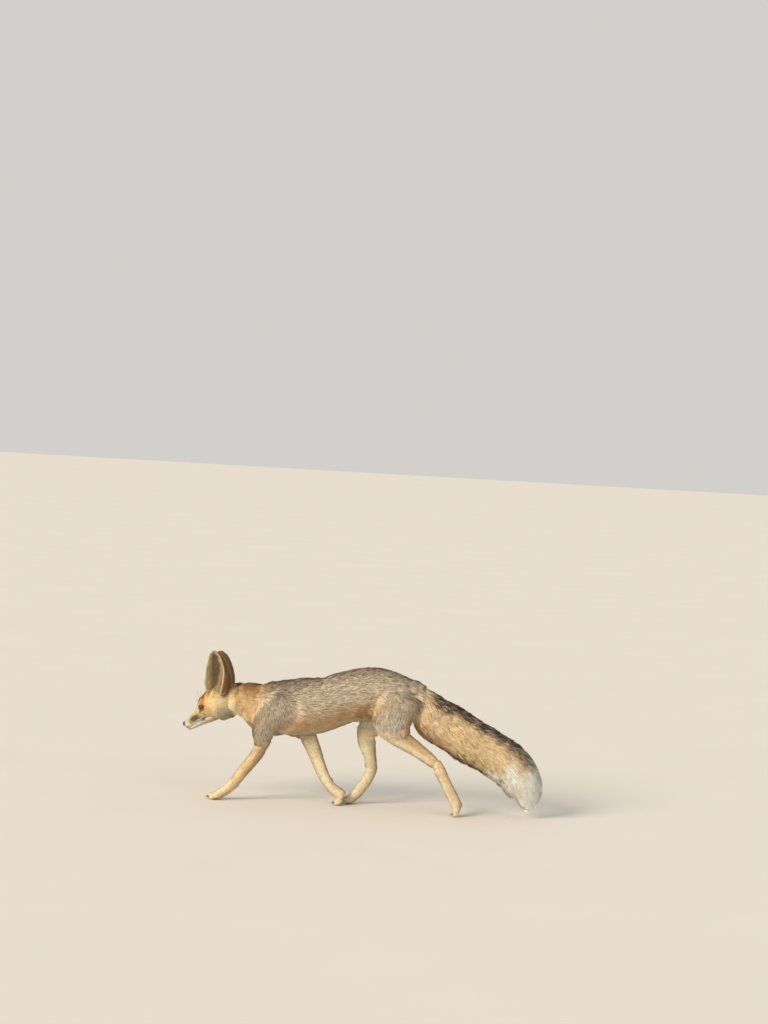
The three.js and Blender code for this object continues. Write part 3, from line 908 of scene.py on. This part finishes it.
# Each kind of coat: how steeply it lifts off the skin in radians, its tufts' half width, how thickly
# they stand, as a share of COAT_DENSITY to the square millimetre, and how much they wander.
KINDS = {
    "trunk": (0.33, 0.54, 0.85, 0.2),
    "upper": (0.32, 0.52, 0.85, 0.18),
    "tail": (0.38, 0.6, 0.64, 0.26),
    "lower": (0.28, 0.42, 1.15, 0.14),
    "paw": (0.26, 0.38, 1.3, 0.12),
    "head": (0.30, 0.36, 1.75, 0.14),
    "ear": (0.30, 0.34, 0.9, 0.18),
}


def kind_of(name):
    last = name.split("_")[-1]
    return {"toe": "paw", "skull": "head", "jaw": "head"}.get(last, last)


def coat_fields(points, normals, flow, owner):
    """For each point of the skin: its kind, the tuft's direction along it, and the coat's style."""
    n = len(points)
    kinds = np.array([kind_of(limbs[i][0]) if i >= 0 else "ear" for i in owner])
    height = np.clip(-limbs_gap(points, coat=True), COAT_LEAST, COAT_MOST)
    away = flow.copy()
    local = to_head(points)

    # The face's hair runs back from the nose and out round the eyes.
    face = kinds == "head"
    for side in SIDES:
        centre = np.array([EYE_BACK, side * EYE_OUT, EYE_UP])
        offset = local - centre
        distance = np.linalg.norm(offset, axis=1)
        round_eye = face & (distance < 22)
        height[round_eye] = np.minimum(height[round_eye], 1.0 + 0.16 * np.maximum(distance[round_eye] - 8, 0))
        push = offset @ HEAD_TURN.T
        pull = np.clip(1.6 - distance / 12, 0, 1)[:, None] * face[:, None]
        away = away + unit(push) * pull * 0.8
    muzzle = face & (local[:, 0] < 44)
    height[muzzle] = np.minimum(height[muzzle], 0.5 + 0.045 * np.maximum(local[muzzle, 0], 4))
    cheek = smoothstep(local[:, 0], 62, 88) * smoothstep(-local[:, 2], -6, 16) * face
    outward = (normals * np.array([0.2, 1, 0])) * 0.55 + np.array([0, 0, -0.35])
    away += outward * cheek[:, None]

    # The ears' hair runs up the back, and inside it leans from the rims across the cup.
    for ear in ears:
        near = np.flatnonzero(ear.near(points))
        f = ear.locate(points[near])
        keep = (f["away"] < 2.4) & (f["share"] > 0.02)
        mine = near[keep]
        kinds[mine] = "ear"
        rim, inner, t = f["rim"][keep], f["inner"][keep], f["share"][keep]
        edge = smoothstep(np.abs(rim), 0.7, 0.98)
        inward = -np.sign(rim)[:, None] * ear.chord[None]
        away[mine] = ear.rise[None] + inward * (edge * inner * 0.9)[:, None]
        away[mine] += (-ear.back[None]) * (edge * 0.5)[:, None]
        tall = np.where(inner, 1.3 + 2.6 * edge + 1.2 * (1 - smoothstep(t, 0.1, 0.4)), 1.1)
        tall = np.where(t > 0.93, 0.9, tall)
        height[mine] = tall

    # Long hair also hangs a little.
    sag = np.where(kinds == "tail", 0.22, np.where(kinds == "trunk", 0.16, 0.0))
    away[:, 2] -= sag
    along = unit(away - (away * normals).sum(1)[:, None] * normals)
    style = np.array([KINDS[kind] for kind in kinds])
    style = np.column_stack([style, height])

    # Where one part of the body runs into the next, the coat changes slowly.
    held = (kinds == "ear")[:, None]
    for _ in range(STYLE_ROUNDS):
        style = np.where(held, style, smoothed(style))
    for _ in range(FLOW_ROUNDS):
        along = np.where(held, along, smoothed(along))
    along = unit(along - (along * normals).sum(1)[:, None] * normals)
    return kinds, along, style


def smoothed(values):
    """Each point's value averaged with its neighbours'."""
    total = values.copy()
    for column in range(values.shape[1]):
        sums = np.bincount(EDGES[:, 0], values[EDGES[:, 1], column], len(values))
        total[:, column] = (values[:, column] + sums) / (1 + EDGE_COUNT)
    return total


def scatter(chosen, density):
    """Roots spread evenly over the chosen triangles, as thickly as the coat's style asks."""
    p = skin_points[chosen]
    area = np.linalg.norm(np.cross(p[:, 1] - p[:, 0], p[:, 2] - p[:, 0]), axis=1) / 2
    area = area * np.clip(1 - bare[chosen].mean(1) * 1.6, 0, 1) * density[chosen].mean(1)
    total = np.cumsum(area)
    number = int(total[-1] * COAT_DENSITY) // 1
    # Evenly spaced steps along the running area keep the roots from bunching.
    steps = (np.arange(number) + rng.random(number)) / number * total[-1]
    picked = chosen[np.searchsorted(total, steps).clip(0, len(chosen) - 1)]
    r1, r2 = np.sqrt(rng.random(number)), rng.random(number)
    weights = np.stack([1 - r1, r1 * (1 - r2), r1 * r2], 1)
    return picked, weights


def blend(values, picked, weights):
    return (values[picked] * weights[..., None]).sum(1)


def bake_place(picked, weights, patch):
    """Each root's place on the unwrapped skin: a square for each limb, side by side."""
    first = picked[:, 0]
    turn = ring[picked] - ring[first][:, None]
    turn = (turn + math.pi) % (2 * math.pi) - math.pi
    around = ((ring[first] + (turn * weights).sum(1)) / (2 * math.pi) + 0.5) % 1
    same = (owner[picked] == owner[first][:, None]).all(1)
    down = np.where(same, (share[picked] * weights).sum(1), share[first])
    present, cell = np.unique(owner[first], return_inverse=True)
    across = math.ceil(math.sqrt(len(present)))
    size = 1 / across
    room = size - 2 * patch
    u = (cell % across) * size + patch + (0.01 + 0.98 * np.clip(down, 0, 1)) * room
    v = (cell // across) * size + patch + (0.01 + 0.98 * around) * room
    return np.stack([u, v], 1)


# A tuft is a thin closed blade: its root, one or two pairs of edge points, and its tip. For each
# pair, its share of the length, of the rise and of the width; then the faces, those on top first.
SHORT_BLADE = (((0.42, 0.62, 1.0),), ((0, 1, 2), (1, 3, 2), (0, 3, 1), (0, 2, 3)))
LONG_BLADE = (
    ((0.26, 0.44, 1.0), (0.64, 0.84, 0.85)),
    ((0, 1, 2), (1, 3, 4), (1, 4, 2), (3, 5, 4), (0, 3, 1), (0, 2, 4), (0, 5, 3), (0, 4, 5)),
)


def tuft_tips(roots, normal, way, lift, wide, tall, pointed):
    """Each tuft's half width and tip, between the skin and the outline of the coat, over the floor."""
    n = len(roots)
    reach = tall / np.tan(lift) * rng.uniform(0.85, 1.12, n)
    wide = wide * rng.uniform(0.7, 1.25, n) * np.clip(0.6 + reach / 40, 0.6, 1.3)
    tip = roots + way * reach[:, None] + normal * tall[:, None]
    loose_end = rng.uniform(0, 1, n) ** 2 * np.where(tall > 8, 0.28 * tall, 1.0)
    over = np.clip(limbs_gap(tip, coat=True) - 0.4 - loose_end, 0, 12) * ~pointed
    tip -= normal * over[:, None]
    under = np.clip(0.5 - skin_gap(tip, fine=False), 0, 6) * ~pointed
    tip += normal * under[:, None]
    tip[:, 2] = np.maximum(tip[:, 2], LOWEST_TIP)
    return wide, tip


def tuft_colours(colour, grizzle, tall, pairs):
    """Darker at the root, as painted shade that deepens under taller hair. In the grizzled coat some tips are
    black and some white.
    """
    n = len(colour)
    tone = colour * np.exp(rng.normal(size=(n, 1)) * 0.10) * (1 + 0.02 * rng.normal(size=(n, 3)))
    chance = rng.random(n)
    dark, light = chance < 0.22 * grizzle, chance > 1 - 0.5 * grizzle
    end = np.where(dark[:, None], tone * 0.30, tone * 1.06)
    end = np.where(light[:, None], mix(tone, SILVER, 0.75), end)
    # Painted shade at each root, darker under taller hair.
    shades = [tone * np.clip(1.0 - 0.05 * tall, 0.6, 0.88)[:, None]]
    for part, _, _ in pairs:
        shades += [mix(tone * 0.95, end, np.full(n, 0.55 * part + 0.1))] * 2
    return np.clip(np.stack([*shades, end], 1).reshape(-1, 3), 0.003, 0.95)


def add_coat(name, where, nodes, blade=SHORT_BLADE):
    """One piece of the coat, on the triangles where a test on their first corner holds."""
    pairs, faces = blade
    picked, weights = scatter(triangles[where[triangles[:, 0]]], style[:, 2])
    roots = blend(skin_points, picked, weights)
    n = len(roots)
    normal = unit(blend(skin_normals, picked, weights))
    way = blend(along, picked, weights)
    lift, wide, _, bend, tall = blend(style, picked, weights).T
    grizzle = (grey[picked] * weights).sum(1)
    pointed = kinds[picked[:, 0]] == "ear"

    # Neighbouring tufts lean together in small clumps.
    clump = np.stack([waves(roots, 14, 31 + i) for i in range(3)], 1)
    loose = rng.normal(size=(n, 3))
    way = way + (clump * 0.55 + loose * 0.34) * bend[:, None]
    way = unit(way - (way * normal).sum(1)[:, None] * normal)
    tall = tall * rng.uniform(0.82, 1.06, n) * (1 + 0.08 * clump[:, 0])
    wide, tip = tuft_tips(roots, normal, way, lift, wide, tall, pointed)

    # The light falls on a blade as on the coat round it.
    start = roots - normal * 0.35
    rise = ((tip - roots) * normal).sum(1)
    flat = (tip - roots) - normal * rise[:, None]
    side = unit(np.cross(tip - start, normal))
    shapes, facing = [start], [normal]
    for part, arch, broad in pairs:
        centre = roots + flat * part + normal * (rise * arch)[:, None]
        for hand in (side, -side):
            shapes.append(centre + hand * (wide * broad)[:, None])
            facing.append(unit(normal + 0.4 * hand))
    shapes.append(tip)
    facing.append(unit(normal + 0.2 * way))
    points = np.stack(shapes, 1).reshape(-1, 3)
    points[:, 2] = np.maximum(points[:, 2], LOWEST_HAIR)
    all_faces = (np.array(faces)[None] + (np.arange(n) * len(shapes))[:, None, None]).reshape(-1, 3)
    facing = np.stack(facing, 1).reshape(-1, 3)[all_faces.ravel()]
    below = np.tile(np.repeat(np.arange(len(faces)) >= len(faces) // 2, 3), n)
    facing[below] *= -1

    obj = new_object(name, points, all_faces)
    obj.data.normals_split_custom_set(facing.astype(np.float32))
    paint(obj, tuft_colours(blend(colours, picked, weights), grizzle, tall, pairs))
    spots = [(-0.5, 0), *((part - 0.5, hand) for part, _, _ in pairs for hand in (-0.45, 0.45)), (0.5, 0)]
    places = bake_place(picked, weights, BAKE_PATCH)[:, None, :] + (np.array(spots) * BAKE_PATCH)[None]
    layer = obj.data.uv_layers.new(name="OFBake")
    layer.data.foreach_set("uv", places.reshape(-1, 2)[all_faces.ravel()].astype(np.float32).ravel())
    obj.data.materials.append(fur_material())
    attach(obj, "root")
    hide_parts(*nodes)


def node_tree(name):
    material = bpy.data.materials.new(name)
    material.use_nodes = True
    tree = material.node_tree
    return material, tree, tree.nodes["Principled BSDF"]


def set_values(node, values):
    for key, value in values.items():
        node.inputs[key].default_value = value


def texture(tree, kind, values):
    """A procedural texture in the piece's own space."""
    place = tree.nodes.new("ShaderNodeTexCoord")
    node = tree.nodes.new("ShaderNodeTex" + kind)
    set_values(node, values)
    tree.links.new(place.outputs["Object"], node.inputs["Vector"])
    return node


def spread(tree, value, ends):
    """A value mapped to another range."""
    span = tree.nodes.new("ShaderNodeMapRange")
    set_values(span, ends)
    tree.links.new(value, span.inputs["Value"])
    return span.outputs["Result"]


def colour_ramp(tree, shader, factor, low, high):
    """The base colour runs between two colours as the factor rises."""
    ramp = tree.nodes.new("ShaderNodeValToRGB")
    ramp.color_ramp.elements[0].color = (*low, 1)
    ramp.color_ramp.elements[1].color = (*high, 1)
    tree.links.new(factor, ramp.inputs["Fac"])
    tree.links.new(ramp.outputs["Color"], shader.inputs["Base Color"])


def relief(tree, shader, height, strength, depth):
    bump = tree.nodes.new("ShaderNodeBump")
    set_values(bump, {"Strength": strength, "Distance": depth})
    tree.links.new(height, bump.inputs["Height"])
    tree.links.new(bump.outputs["Normal"], shader.inputs["Normal"])
    return bump


def mesh_colour(tree, shader, scale, low, high, detail=4):
    """The mesh's own colours, broken up by a fine noise."""
    colour = tree.nodes.new("ShaderNodeAttribute")
    colour.attribute_name = "coat_colour"
    noise = texture(tree, "Noise", {"Scale": scale, "Detail": detail}).outputs["Fac"]
    ends = {"From Min": 0.3, "From Max": 0.7, "To Min": low, "To Max": high}
    product = tree.nodes.new("ShaderNodeVectorMath")
    product.operation = "SCALE"
    tree.links.new(colour.outputs["Color"], product.inputs[0])
    tree.links.new(spread(tree, noise, ends), product.inputs["Scale"])
    tree.links.new(product.outputs["Vector"], shader.inputs["Base Color"])
    return noise


def mottled(name, scale, low, high, values):
    """A plain stuff whose colour wanders a little."""
    material, tree, shader = node_tree(name)
    noise = texture(tree, "Noise", {"Scale": scale})
    colour_ramp(tree, shader, noise.outputs["Fac"], low, high)
    set_values(shader, values)
    return material


def fur_material():
    if "fur_tufts" in bpy.data.materials:
        return bpy.data.materials["fur_tufts"]
    material, tree, shader = node_tree("fur_tufts")
    noise = mesh_colour(tree, shader, 260, 0.88, 1.12)
    rough = spread(tree, noise, {"To Min": 0.55, "To Max": 0.75})
    tree.links.new(rough, shader.inputs["Roughness"])
    set_values(shader, {"Specular IOR Level": 0.3, "Sheen Weight": 0.12})
    return material


def skin_material():
    material, tree, shader = node_tree("skin_under_fur")
    # The coat's colours darkened as painted shade under the fur, broken up by noise.
    mesh_colour(tree, shader, 420, 0.62, 0.92)
    hairs = texture(tree, "Noise", {"Scale": 1500, "Detail": 3})
    relief(tree, shader, hairs.outputs["Fac"], 0.35, 0.0004)
    set_values(shader, {"Roughness": 0.62, "Specular IOR Level": 0.35})
    return material


def leather_material():
    material, tree, shader = node_tree("nose_leather")
    cells = texture(tree, "Voronoi", {"Scale": 1300}).outputs["Distance"]
    colour_ramp(tree, shader, cells, (0.012, 0.009, 0.009), (0.035, 0.026, 0.024))
    relief(tree, shader, cells, 0.5, 0.0003).invert = True
    set_values(shader, {"Roughness": 0.34, "Coat Weight": 0.35, "Coat Roughness": 0.25})
    return material


def horn_material():
    return mottled("claw_horn", 700, (0.06, 0.042, 0.03), (0.2, 0.15, 0.11), {"Roughness": 0.38})


def eye_material():
    material, tree, shader = node_tree("eye_gloss")
    mesh_colour(tree, shader, 1800, 0.75, 1.25, detail=2)
    set_values(shader, {"Roughness": 0.2, "Coat Weight": 1.0, "Coat Roughness": 0.03})
    return material


def whisker_material():
    return mottled("whisker", 90, (0.012, 0.01, 0.009), (0.05, 0.04, 0.032), {"Roughness": 0.45})


def ball_points(rows, around):
    """Directions over a ball, pole to pole along +X, with its faces as quads."""
    polar = np.linspace(0, math.pi, rows + 1)
    polar[0], polar[-1] = 0.004, math.pi - 0.004
    turn = np.arange(around) / around * 2 * math.pi
    p, t = np.meshgrid(polar, turn, indexing="ij")
    ways = np.stack([np.cos(p), np.sin(p) * np.cos(t), np.sin(p) * np.sin(t)], -1).reshape(-1, 3)
    quads = []
    for i in range(rows):
        for j in range(around):
            a, b = i * around + j, i * around + (j + 1) % around
            quads.append((a, a + around, b + around, b))
    return ways, np.array(quads), p.ravel(), t.ravel()


def build_eye(side, name, node):
    ways, quads, polar, turn = ball_points(72, 72)
    front = GAZE[side]
    _, _, left, up = eye_frame(side)
    cornea = 0.6 * np.clip(1 - (polar / 0.75) ** 2, 0, None) ** 1.5
    radius = EYE_RADIUS - 0.05 + cornea
    local = ways[:, :1] * front + ways[:, 1:2] * left + ways[:, 2:3] * up
    points = from_head(local * radius[:, None] + [EYE_BACK, side * EYE_OUT, EYE_UP])
    across = np.sin(polar) * np.cos(turn) * EYE_RADIUS
    high = np.sin(polar) * np.sin(turn) * EYE_RADIUS
    off_axis = polar * EYE_RADIUS
    iris = mix(linear(96, 58, 24), linear(50, 28, 12), smoothstep(off_axis, 1.5, 5.4))
    rays = 0.5 + 0.5 * np.sin(turn * 41 + 3 * np.sin(turn * 7))
    iris = iris * (0.8 + 0.35 * rays)[:, None]
    pupil = 1 - smoothstep((across / 1.7) ** 2 + (high / 3.0) ** 2, 0.8, 1.15)
    tone = mix(iris, linear(6, 5, 5), pupil)
    tone = mix(tone, linear(14, 9, 7), smoothstep(off_axis, 5.0, 5.6))
    tone = np.where((polar > math.pi / 2)[:, None], linear(40, 26, 20), tone)
    obj = new_object(name, points, quads)
    paint(obj, np.clip(tone, 0.002, 1))
    obj.data.materials.append(eye_material())
    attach(obj, "root")
    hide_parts(node)


def build_lids():
    """A lid above and below each eye, closed to an almond, its rim dark and its outside furred."""
    rows = ((1.16, 0.12), (1.0, 0.2), (1.0, 0.7), (1.08, 0.95), (1.2, 0.95), (1.38, 0.7), (1.6, 0.3))
    turns = 96
    points, faces, tones = [], [], []
    for side in SIDES:
        centre, gaze, length, height = eye_frame(side)
        angle = np.arange(turns) / turns * 2 * math.pi
        c, s = np.cos(angle), np.sin(angle)
        # The inner corner is drawn out towards the nose and lies a little lower.
        along = np.where(c < 0, 6.1, 5.3) * np.sign(c) * np.abs(c) ** 0.9
        up = np.where(s > 0, 3.3, 2.7) * np.sign(s) * np.abs(s) ** 1.25 + OPENING_TILT * along
        base = len(points) * turns
        for scale, rise in rows:
            a, u = along * scale, up * scale + np.sign(s) * (scale - 1) * 2.2 * np.abs(s)
            radius = EYE_RADIUS + rise
            flat = np.hypot(a, u)
            hold = np.minimum(1, 0.985 * radius / np.maximum(flat, 1e-6))
            a, u = a * hold, u * hold
            out = np.sqrt(np.maximum(radius**2 - a**2 - u**2, 0))
            local = centre + np.outer(a, length) + np.outer(u, height) + np.outer(out, gaze)
            points.append(from_head(local))
            tone = mix(LIP, ORANGE * 0.62, smoothstep(np.full(turns, scale), 1.2, 1.45))
            tones.append(tone)
        for row in range(len(rows) - 1):
            for i in range(turns):
                j = (i + 1) % turns
                a, b = base + row * turns + i, base + row * turns + j
                faces.append((a, b, b + turns, a + turns) if side > 0 else (b, a, a + turns, b + turns))
    obj = new_object("eyelids", np.concatenate(points), faces)
    paint(obj, np.concatenate(tones))
    obj.data.materials.append(skin_material())
    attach(obj, "root")
    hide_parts("head")


def build_nose():
    ways, quads, _, _ = ball_points(90, 110)
    points = ways * [4.9, 6.1, 4.9]
    # The pad is broad above and narrows to the lip.
    points[:, 1] *= 0.74 + 0.26 * smoothstep(points[:, 2], -4.5, 1.5)
    for side in SIDES:
        for spot, deep, size in (
            ((-4.2, side * 2.3, -0.2), 2.2, 1.2),
            ((-3.2, side * 3.9, -0.9), 1.3, 0.95),
            ((-1.4, side * 5.2, -1.4), 0.8, 0.85),
        ):
            distance = np.linalg.norm(points - np.array(spot), axis=1)
            points = points - unit(points) * (deep * np.exp(-((distance / size) ** 2)))[:, None]
    groove = np.exp(-((points[:, 1] / 0.42) ** 2)) * smoothstep(-points[:, 2], -2.6, 0.6)
    groove = groove * (points[:, 0] < 0)
    points = points - unit(points) * (0.7 * groove)[:, None]
    obj = new_object("nose_pad", from_head(points + [4.7, 0, -0.2]), quads)
    obj.data.materials.append(leather_material())
    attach(obj, "root")
    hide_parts("nose")


def tube(line, radii, around, flat=1.0):
    """Rings of points round a bent line, closed at both ends."""
    line = np.asarray(line, float)
    along = unit(np.gradient(line, axis=0))
    across = unit(np.cross(along, [0.03, 0.2, 1.0]))
    over = np.cross(across, along)
    turn = np.arange(around) / around * 2 * math.pi
    ring_points = (
        line[:, None]
        + across[:, None] * (np.cos(turn) * flat)[None, :, None] * np.asarray(radii)[:, None, None]
        + over[:, None] * np.sin(turn)[None, :, None] * np.asarray(radii)[:, None, None]
    )
    points = [line[0], *ring_points.reshape(-1, 3), line[-1]]
    faces = []
    last = len(points) - 1
    for j in range(around):
        k = (j + 1) % around
        faces.append((0, 1 + k, 1 + j))
        for i in range(len(line) - 1):
            a, b = 1 + i * around + j, 1 + i * around + k
            faces += [(a, b, b + around), (a, b + around, a + around)]
        end = 1 + (len(line) - 1) * around
        faces.append((last, end + j, end + k))
    return np.array(points), np.array(faces)


def joined(name, tubes):
    points, faces, start = [], [], 0
    for p, f in tubes:
        points.append(p)
        faces.append(f + start)
        start += len(p)
    return new_object(name, np.concatenate(points), np.concatenate(faces))


def build_claws():
    tubes, names = [], []
    for leg_name, leg in LEGS.items():
        for i, toe in enumerate(TOES):
            x, y, z = toe_rows(leg, toe)[2][:3]
            root_x, root_z = x - 1.0, max(z - 0.6, 5) + 1.2
            t = np.linspace(0, 1, 9)
            line = np.stack(
                [root_x - 8.2 * t, np.full(9, y), root_z + 1.6 * t - 4.6 * t**2], 1
            )
            line[:, 2] = np.maximum(line[:, 2], 1.0)
            radii = 1.65 * (1 - t) ** 0.6 + 0.12
            tubes.append(tube(line, radii, 10, flat=0.72))
            names.append(f"{leg_name}_claw_{i + 1}")
    obj = joined("claws", tubes)
    obj.data.materials.append(horn_material())
    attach(obj, "root")
    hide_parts(*names)


def build_whiskers():
    tubes = []
    t = np.linspace(0, 1, 8)
    for side in SIDES:
        for row in range(4):
            for i in range(4):
                back = 12 + 5.5 * i + 1.5 * row
                root = np.array([back, side * 9.0, 0.5 - 2.4 * row])
                root = surface_from(root, side)
                length = rng.uniform(26, 40) * (0.75 + 0.12 * i)
                way = unit(np.array([0.35 + 0.16 * i, side * 0.9, 0.16 - 0.16 * row + rng.normal() * 0.05]))
                droop = np.array([0.35, 0, -0.22])
                line = root + length * (way * t[:, None] + droop * (t**2)[:, None] * 0.45)
                tubes.append(tube(from_head(line), 0.24 * (1 - t) + 0.05, 4))
        for i in range(3):
            root = np.array([53 + 3 * i, side * 14.0, 19.0 + i])
            length = rng.uniform(20, 26)
            way = unit(np.array([-0.1 + 0.3 * i, side * 0.45, 1.0]))
            line = root + length * (way * t[:, None] + np.array([0.5, 0, 0]) * (t**2)[:, None] * 0.4)
            tubes.append(tube(from_head(line), 0.2 * (1 - t) + 0.05, 4))
    obj = joined("whiskers", tubes)
    obj.data.materials.append(whisker_material())
    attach(obj, "root")


def surface_from(local, side):
    """The skin's surface beside a point of the muzzle, in the head's frame."""
    spots = np.array([[local[0], side * y, local[2]] for y in np.linspace(2, 22, 81)])
    gaps = skin_gap(from_head(spots), fine=False)
    outside = np.flatnonzero(gaps > -0.3)
    return spots[outside[0]] if len(outside) else spots[-1]


skin, skin_points = build_skin()
triangles, skin_normals = mesh_arrays(skin)
found, flow, owner, share, ring = survey(skin_points)
colours, bare, grey = markings(skin_points, skin_normals, found)
paint(skin, colours)
skin.data.materials.append(skin_material())
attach(skin, "root")
flesh = [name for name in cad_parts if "claw" not in name and name not in ("nose", *EYES)]
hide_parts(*flesh)

pairs = np.concatenate([triangles[:, [0, 1]], triangles[:, [1, 2]], triangles[:, [2, 0]]])
pairs = np.unique(np.sort(pairs, axis=1), axis=0)
EDGES = np.concatenate([pairs, pairs[:, ::-1]])
EDGE_COUNT = np.bincount(EDGES[:, 0], minlength=len(skin_points))
kinds, along, style = coat_fields(skin_points, skin_normals, flow, owner)

body_kinds = np.isin(kinds, ("trunk", "upper"))
limb_kinds = np.isin(kinds, ("lower", "paw"))
px, py = skin_points[:, 0], skin_points[:, 1]
uppers = [name for name in flesh if name.endswith("_upper")]
lowers = [name for name in flesh if name.endswith(("_lower", "_paw"))]
tail = ["tail_base", "tail_middle", "tail_tip"]
for side, here in (("left", py < 0), ("right", py >= 0)):
    legs = [name for name in lowers if side in name]
    above = [name for name in uppers if side in name]
    add_coat(f"coat_fore_{side}", body_kinds & here & (px < -60), ["neck", "trunk", *above])
    add_coat(f"coat_rear_{side}", body_kinds & here & (px >= -60), ["trunk", *above])
    add_coat(f"coat_legs_{side}", limb_kinds & here, legs)
    add_coat(f"coat_face_{side}", (kinds == "head") & here, ["head", "lower_jaw"])
    add_coat(f"brush_{side}", (kinds == "tail") & here, tail, LONG_BLADE)
add_coat("coat_ears", kinds == "ear", ["ear_left", "ear_right"])
build_lids()
build_eye(-1, "eyeball_left", "eye_left")
build_eye(1, "eyeball_right", "eye_right")
build_nose()
build_claws()
build_whiskers()


def build_stage():
    floor_points = [(-FLOOR, -FLOOR, 0), (FLOOR, -FLOOR, 0), (FLOOR, FLOOR, 0), (-FLOOR, FLOOR, 0)]
    mesh = bpy.data.meshes.new("studio_floor")
    mesh.from_pydata(floor_points, [], [(0, 1, 2, 3)])
    floor = in_scene("studio_floor", mesh)
    dull = {"Roughness": 0.9, "Specular IOR Level": 0.1}
    material = mottled("studio_floor", 3, (0.70, 0.67, 0.62), (0.74, 0.71, 0.66), dull)
    mesh.materials.append(material)
    floor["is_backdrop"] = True

    world = bpy.data.worlds.new("studio")
    bpy.context.scene.world = world
    world.use_nodes = True
    background = world.node_tree.nodes["Background"]
    background.inputs["Color"].default_value = (1.0, 0.97, 0.93, 1)
    background.inputs["Strength"].default_value = 0.65
    bpy.context.scene.view_settings.view_transform = "Standard"

    def lamp(name, towards, power, spread, tint):
        light = bpy.data.lights.new(name, "SUN")
        light.angle = math.radians(spread)
        light.energy = power
        light.color = tint
        in_scene(name, light).rotation_euler = Vector(towards).to_track_quat("Z", "Y").to_euler()

    lamp("key", (-0.64, -0.74, 0.5), 2.9, 26, (1.0, 0.88, 0.70))
    lamp("fill", (0.7, -0.6, 0.6), 0.35, 40, (1.0, 0.95, 0.88))


def build_camera():
    cos_roll, sin_roll = math.cos(CAMERA_ROLL), math.sin(CAMERA_ROLL)
    right = np.array([math.cos(CAMERA_YAW), math.sin(CAMERA_YAW), 0])
    ahead = np.array([-math.sin(CAMERA_YAW), math.cos(CAMERA_YAW), 0])
    up = np.array([0, 0, 1.0])
    forward = ahead * math.cos(CAMERA_PITCH) - up * math.sin(CAMERA_PITCH)
    over = ahead * math.sin(CAMERA_PITCH) + up * math.cos(CAMERA_PITCH)
    dx, dy = STANDS_AT[0] - PICTURE[0] / 2, STANDS_AT[1] - PICTURE[1] / 2
    a = (dx * cos_roll + dy * sin_roll) * CAMERA_AWAY / FOCAL
    b = (dx * sin_roll - dy * cos_roll) * CAMERA_AWAY / FOCAL
    data = bpy.data.cameras.new("camera")
    data.sensor_width = SENSOR
    data.lens = FOCAL * SENSOR / PICTURE[1]
    data.clip_end = 5 * FLOOR
    camera = in_scene("camera", data)
    turn = np.eye(4)
    turn[:3, 0], turn[:3, 1] = right * cos_roll + over * sin_roll, over * cos_roll - right * sin_roll
    turn[:3, 2], turn[:3, 3] = -forward, to_row(-(a * right + b * over + CAMERA_AWAY * forward))
    camera.matrix_world = Matrix(turn.tolist())
    bpy.context.scene.camera = camera


build_stage()
build_camera()
low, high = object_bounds()
